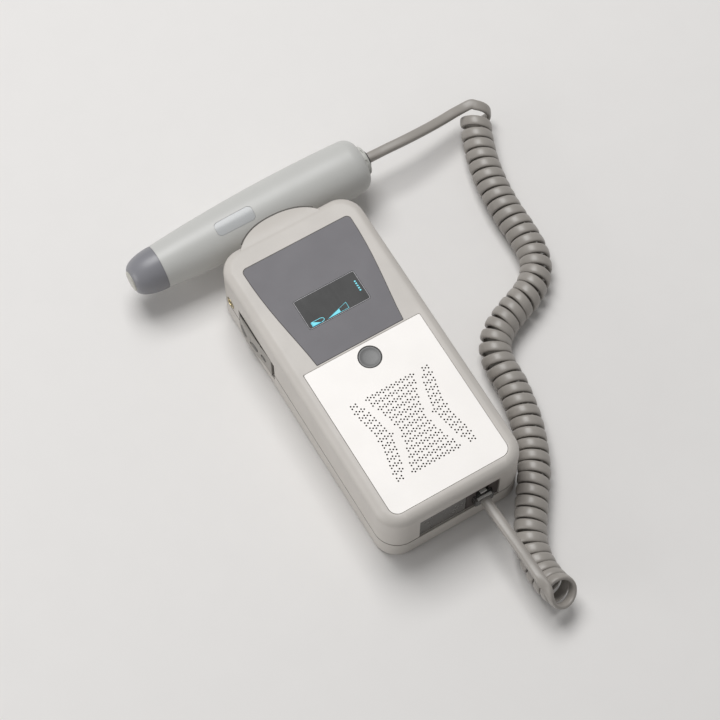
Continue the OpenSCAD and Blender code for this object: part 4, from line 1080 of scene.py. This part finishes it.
class SideKeysOperator(bpy.types.Operator):
    """Shapes the soft strip in the side wall and its three domed keys"""
    bl_idname = "doppler.side_keys"
    bl_label = "Side keys"
    # Width of the painted shade line along the strip's upper side, where the gap to the case lies in shade,
    # and rounding of its edges, in millimetres
    LINE = 0.5
    STRIP_EDGE = 0.35
    # Outline of a key's domed face: depth in millimetres, and share of the radius
    DOME = ((0, 0), (0.06, 0.45), (0.25, 0.8), (0.6, 1))
    # Width and thickness of a key's rim behind the strip, in millimetres
    RIM = 0.7
    RIM_THICK = 0.8

    def execute(self, context):
        strip_low = PLATE_X - CASE_HALF + STRIP_SEAT
        line = (PLATE_X - CASE_HALF - self.LINE) * MM
        bm = node_copy("key_strip")
        bmesh.ops.bisect_plane(bm, geom=bm.verts[:] + bm.edges[:] + bm.faces[:], dist=1e-6,
                               plane_co=(line, 0, 0), plane_no=(1, 0, 0))
        bm.normal_update()
        # Painted shade: upward faces past the line and the flange take a dark colour that stands for the
        # shade in the gap between strip and case
        for face in bm.faces:
            x = face.calc_center_median().x
            in_shade = face.normal.z > UPWARD and x > line
            face.material_index = 1 if in_shade or x > strip_low * MM else 0
        strip = soft_edged(bm, "key_strip_look", self.STRIP_EDGE * MM)
        wear(context, strip, "key_rubber", "main", "key_strip")
        strip.data.materials.append(moulded("Strip painted shade", linear("3d3a37"), rough=(0.6, 0.7)))
        for node in ("volume_up_key", "volume_down_key", "mode_key"):
            reach, across, height = spans(node)
            centre = face_middle(node, 0, 0)
            radius = across / 2 - self.RIM
            rim, back = strip_low - centre.x / MM, strip_low - centre.x / MM + self.RIM_THICK
            profile = [(depth, radius * share) for depth, share in self.DOME]
            profile += [(rim, radius), (rim, radius + self.RIM), (back, radius + self.RIM),
                        (back, radius), (reach, radius), (reach, 0)]
            turned(context, lathe(profile, centre, (1, 0, 0), steps=40), node, "key", node)
        return {"FINISHED"}


class EarphoneOperator(bpy.types.Operator):
    """Turns the brass ring of the earphone socket and softens its body"""
    bl_idname = "doppler.earphone"
    bl_label = "Earphone socket"
    # Radius of the ring's bore, and rounding of the socket's edges, in millimetres
    BORE_R = 1.8
    SOCKET_EDGE = 0.15

    def execute(self, context):
        reach, across, height = spans("earphone_ring")
        outer = across / 2
        profile = [(0.1, outer - 0.05), (0, outer - 0.3), (0, 2.2), (0.3, self.BORE_R + 0.05),
                   (0.6, self.BORE_R), (reach, self.BORE_R), (reach, outer), (0.3, outer)]
        bm = lathe(profile, face_middle("earphone_ring", 0, 0), (1, 0, 0), steps=48, solid=True)
        turned(context, bm, "earphone_ring", "ring", "main")
        softened(context, "earphone_socket", "black_plastic", "main", self.SOCKET_EDGE * MM)
        return {"FINISHED"}


class EndSocketOperator(bpy.types.Operator):
    """Shapes the blank panel, the cord's socket, a pale bar on the plug's outer top edge that is a painted
    highlight, and the plug's gold contacts
    """
    bl_idname = "doppler.end_socket"
    bl_label = "End socket and contacts"
    CONTACTS = 4
    CONTACT_PITCH = 1.1
    # Width, length and thickness in millimetres, and rounding of edges
    CONTACT = (0.44, 2.8, 1.1)
    # The bar is a painted highlight: a pale strip along the plug's outer top edge
    BAR = (7.4, 1.3, 1.2)
    BAR_EDGE = 0.35
    SOCKET_EDGE = 0.2
    # Middle of their upper faces from the plug's inner end and underside, and from its outer end and top
    CONTACT_PLACE = (-1.5, 1.15)
    BAR_PLACE = (0.7, 0.15)

    def execute(self, context):
        softened(context, "end_panel", "port", "main", self.SOCKET_EDGE * MM)
        softened(context, "cord_socket", "black_plastic", "main", self.SOCKET_EDGE * MM,
                 material=moulded("Socket plastic", linear("3d3431"), rough=(0.4, 0.5)))
        low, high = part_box("cord_plug")
        middle = (low[0] + high[0]) / 2
        # Painted highlight: a pale bar on the plug's outer top edge
        bar = slab(*self.BAR, 0, Vector((middle, low[1] + self.BAR_PLACE[0] * MM,
                                         high[2] + self.BAR_PLACE[1] * MM)))
        round_sharp(bar, self.BAR_EDGE)
        wear(context, to_piece(bar, "plug_painted_highlight_bar"), "plug", "main", material=clear_with_painted_highlight())
        bm = bmesh.new()
        for i in range(self.CONTACTS):
            x = middle + (i - (self.CONTACTS - 1) / 2) * self.CONTACT_PITCH * MM
            place = Vector((x, high[1] + self.CONTACT_PLACE[0] * MM, low[2] + self.CONTACT_PLACE[1] * MM))
            join(bm, slab(*self.CONTACT, 0, place))
        gold = glossy("Contact gold", linear("c9a45c"), rough=(0.2, 0.3), Metallic=1.0)
        wear(context, to_piece(bm, "plug_contacts"), "plug", "main", material=gold)
        return {"FINISHED"}


# The probe's measures along its axis from the case's middle line, in millimetres
NOSE_X = -55.9
TIP_X = -71.0
WIDE_X = 17.0
SHOULDER_X = 46.0
BARREL_END_X = 52.3
BARREL_R = 14.0
NOSE_R = 10.6
END_R = 8.6
WALL = 1.8
END_BORE = 3
TAPER = (BARREL_R - NOSE_R) / (WIDE_X - NOSE_X) ** 2


def barrel_r(x):
    return BARREL_R - TAPER * (x - WIDE_X) ** 2


def shoulder_r(x):
    share = (x - SHOULDER_X) / (BARREL_END_X - SHOULDER_X)
    return END_R + (barrel_r(SHOULDER_X) - END_R) * math.sqrt(max(0.0, 1 - share * share))


class ProbeOperator(bpy.types.Operator):
    """Turns the probe's two shells, its nose, the lens in the tip and the notched collar"""
    bl_idname = "doppler.probe"
    bl_label = "Probe"
    # Steps along the barrel outside and inside, where the inside ends before the shoulder in
    # millimetres, and degrees between the points of the round shoulder and nose
    BARREL_STEPS = 32
    INSIDE_STEPS = 12
    INSIDE_BACK = 1
    SHOULDER_STEP = 9
    NOSE_STEP = 5
    # Rounding of the half shells' rims and of the nose, in millimetres
    RIM_EDGE = 0.18
    NOSE_EDGE = 0.15
    NOSE_LENGTH = 14.3
    TIP_R = 5.1
    # Hollow of the nose from its front, and its spigot in the barrel from its back: place, radius
    NOSE_BORE = ((0, 4), (4, 4))
    NOSE_BACK = ((-6.5, 7.35), (4, 7.35), (4, 8.75), (0, 8.75))
    # Outline of the lens from the tip: place, radius
    LENS = ((0, 0), (0.02, 3), (0.1, 4.2), (0.3, 4.8), (0.6, 5), (0.8, 5), (0.8, 3.9), (3, 3.9), (3, 0))
    # Outlines of the collar and of the ring round the cord, from the barrel's end: place, radius
    COLLAR = ((-5, 0), (-5, 6.7), (0, 6.7), (0, 7.2), (1.5, 7.2), (2.1, 7.0), (2.5, 6.4), (2.5, 4.0),
              (2.5, 0))
    CORD_RING = ((2.4, 2.3), (2.4, 4.2), (3.2, 4.2), (3.6, 3.9), (3.6, 2.3))
    # Notches round the collar's rim: angles in degrees, the rest in millimetres
    NOTCH_TURN = 45
    NOTCH_SPAN = 16
    NOTCH_FROM_R = 6.9
    NOTCH_LENGTH = 1.6
    NOTCH_EDGE = 0.12
    NOTCH_DEPTH = 0.4

    def execute(self, context):
        centre = Vector((PLATE_X * MM, PROBE_Y * MM, PROBE_Z * MM))
        outside = [(x, barrel_r(x)) for x in steps_between(NOSE_X, SHOULDER_X, self.BARREL_STEPS)]
        for angle in range(self.SHOULDER_STEP, 91, self.SHOULDER_STEP):
            x = SHOULDER_X + (BARREL_END_X - SHOULDER_X) * math.sin(math.radians(angle))
            outside.append((x, shoulder_r(x)))
        inside = [(BARREL_END_X, END_R - WALL), (BARREL_END_X - END_BORE, END_R - WALL)]
        inside += [(x, barrel_r(x) - WALL)
                   for x in steps_between(SHOULDER_X - self.INSIDE_BACK, NOSE_X, self.INSIDE_STEPS)]
        for node, start in (("probe_front_shell", -90), ("probe_rear_shell", 90)):
            bm = lathe(outside + inside, centre, (1, 0, 0), angle=180, start=start)
            round_sharp(bm, self.RIM_EDGE)
            turned(context, bm, node, "probe", "probe")
        self.nose(context, centre)
        self.collar(context, centre)
        return {"FINISHED"}

    def nose(self, context, centre):
        front = NOSE_X - self.NOSE_LENGTH
        dome = [(NOSE_X - self.NOSE_LENGTH * math.sin(a), self.TIP_R + (NOSE_R - self.TIP_R) * math.cos(a))
                for a in [math.radians(angle) for angle in range(0, 91, self.NOSE_STEP)]]
        hollow = shifted(self.NOSE_BORE, front) + shifted(self.NOSE_BACK, NOSE_X)
        bm = lathe(dome + hollow, centre, (1, 0, 0), solid=True)
        round_sharp(bm, self.NOSE_EDGE)
        turned(context, bm, "probe_nose", "nose", "probe")
        bm = lathe(shifted(self.LENS, TIP_X), centre, (1, 0, 0), steps=48)
        turned(context, bm, "probe_lens", "lens", "probe")

    def collar(self, context, centre):
        bm = lathe(shifted(self.COLLAR, BARREL_END_X), centre, (1, 0, 0), steps=64)
        rim = [f for f in bm.faces if self.in_notch(f.calc_center_median() - centre)]
        bmesh.ops.inset_region(bm, faces=rim, thickness=self.NOTCH_EDGE * MM, depth=-self.NOTCH_DEPTH * MM)
        turned(context, bm, "probe_collar", "collar", "probe")
        bm = lathe(shifted(self.CORD_RING, BARREL_END_X), centre, (1, 0, 0), steps=48, solid=True)
        wear(context, even_normals(to_piece(bm, "probe_cord_ring")), "black_plastic", "probe")

    def in_notch(self, spot):
        """Whether a face lies in one of the collar's notches, by its place from the probe's middle."""
        outer = math.hypot(spot.y, spot.z) > self.NOTCH_FROM_R * MM
        along = BARREL_END_X * MM < spot.x < (BARREL_END_X + self.NOTCH_LENGTH) * MM
        angle = math.degrees(math.atan2(spot.y, spot.z)) % self.NOTCH_TURN
        return outer and along and angle < self.NOTCH_SPAN


class ProbeLabelOperator(bpy.types.Operator):
    """Sinks a bare label with round corners into the probe's upper shell"""
    bl_idname = "doppler.probe_label"
    bl_label = "Bare label field"
    # Lengths in millimetres along the barrel, angles in degrees round it as in the part's source
    FIRST_X = -26.7
    LENGTH = 19.7
    START = 178.0
    SPAN = 31.5
    CORNER = 2.2
    STEPS_ALONG = 40
    STEPS_ROUND = 24
    # Recess below the surface and its cutter above it; the film's gap all round, depth and thickness
    RECESS = 0.4
    CUT_ABOVE = 1.0
    FILM_GAP = 0.12
    FILM_SINK = 0.08
    FILM = 0.3

    def patch(self, shrink, less, thickness):
        """A patch with round corners wrapped on the barrel, its outer face less below the surface."""
        half_x = self.LENGTH / 2 - shrink
        middle_x = self.FIRST_X + self.LENGTH / 2
        radius = barrel_r(middle_x)
        half_s = math.radians(self.SPAN / 2) * radius - shrink
        middle_a = math.radians(self.START + self.SPAN / 2)
        bm = bmesh.new()
        bmesh.ops.create_grid(bm, x_segments=self.STEPS_ALONG, y_segments=self.STEPS_ROUND, size=1)
        for vert in bm.verts:
            x, s = vert.co.x * half_x, vert.co.y * half_s
            over_x = abs(x) - (half_x - self.CORNER)
            over_s = abs(s) - (half_s - self.CORNER)
            if over_x > 0 and over_s > 0:
                pull = max(over_x, over_s) / math.hypot(over_x, over_s)
                x = math.copysign(half_x - self.CORNER + over_x * pull, x)
                s = math.copysign(half_s - self.CORNER + over_s * pull, s)
            x += middle_x
            vert.co = self.wrap(x, middle_a + s / radius, barrel_r(x) - less - thickness)
        new = bmesh.ops.extrude_face_region(bm, geom=bm.faces[:])["geom"]
        centre = Vector((0, PROBE_Y * MM, PROBE_Z * MM))
        for vert in [v for v in new if isinstance(v, bmesh.types.BMVert)]:
            out = vert.co - centre
            out.x = 0
            vert.co += out.normalized() * thickness * MM
        bmesh.ops.recalc_face_normals(bm, faces=bm.faces)
        return bm

    def wrap(self, x, angle, radius):
        """The place at an angle of the part's source round the probe's axis."""
        across = -math.cos(angle)
        return Vector(((x + PLATE_X) * MM, PROBE_Y * MM + radius * MM * math.sin(angle),
                       PROBE_Z * MM + radius * MM * across))

    def execute(self, context):
        shell = bpy.data.objects["probe_front_shell_look"]
        shell.modifiers.clear()
        recess = self.patch(0, -self.CUT_ABOVE, self.CUT_ABOVE + self.RECESS)
        cutter = to_piece(recess, "label_recess")
        cutter.data.materials.append(finish(context, "probe"))
        cut(shell, cutter)
        shell.data.set_sharp_from_angle(angle=SHARP)
        even_normals(shell)
        film = self.patch(self.FILM_GAP, self.FILM_SINK, self.FILM)
        turned(context, film, "probe_label", "label", "probe")
        return {"FINISHED"}


class InsideOperator(bpy.types.Operator):
    """Gives the pieces inside the case and the probe their finishes"""
    bl_idname = "doppler.inside"
    bl_label = "Inner pieces"

    def execute(self, context):
        slots = {s["node"]: s["material_slot"] for s in frame["record"]["subparts"]}
        for node, piece in NODES.items():
            material = finish(context, slots[node])
            piece.data.materials.clear()
            piece.data.materials.append(material)
        return {"FINISHED"}


OPERATORS = (
    StageOperator, CordOperator, CaseOperator, GrillePlateOperator, DisplayOperator, PowerButtonOperator,
    SideKeysOperator, EarphoneOperator, EndSocketOperator, ProbeOperator, ProbeLabelOperator, InsideOperator,
)


class DopplerPanel(bpy.types.Panel):
    """Lists the doppler's sizes, colours and building steps"""
    bl_idname = "VIEW3D_PT_doppler"
    bl_label = "Pocket doppler"
    bl_space_type = "VIEW_3D"
    bl_region_type = "UI"
    bl_category = "Doppler"

    def draw(self, context):
        for name, group in GROUPS:
            box = self.layout.box()
            box.label(text=group.__doc__)
            for key in group.__annotations__:
                box.prop(getattr(context.scene, name), key)
        for operator in OPERATORS:
            self.layout.operator(operator.bl_idname)


def register():
    for name, group in GROUPS:
        bpy.utils.register_class(group)
        setattr(bpy.types.Scene, name, bpy.props.PointerProperty(type=group))
    for item in OPERATORS + (DopplerPanel,):
        bpy.utils.register_class(item)


def unregister():
    for item in reversed(OPERATORS + (DopplerPanel,)):
        bpy.utils.unregister_class(item)
    for name, group in reversed(GROUPS):
        delattr(bpy.types.Scene, name)
        bpy.utils.unregister_class(group)


def main():
    register()
    for operator in OPERATORS:
        family, step = operator.bl_idname.split(".")
        getattr(getattr(bpy.ops, family), step)()


if __name__ == "__main__":
    main()
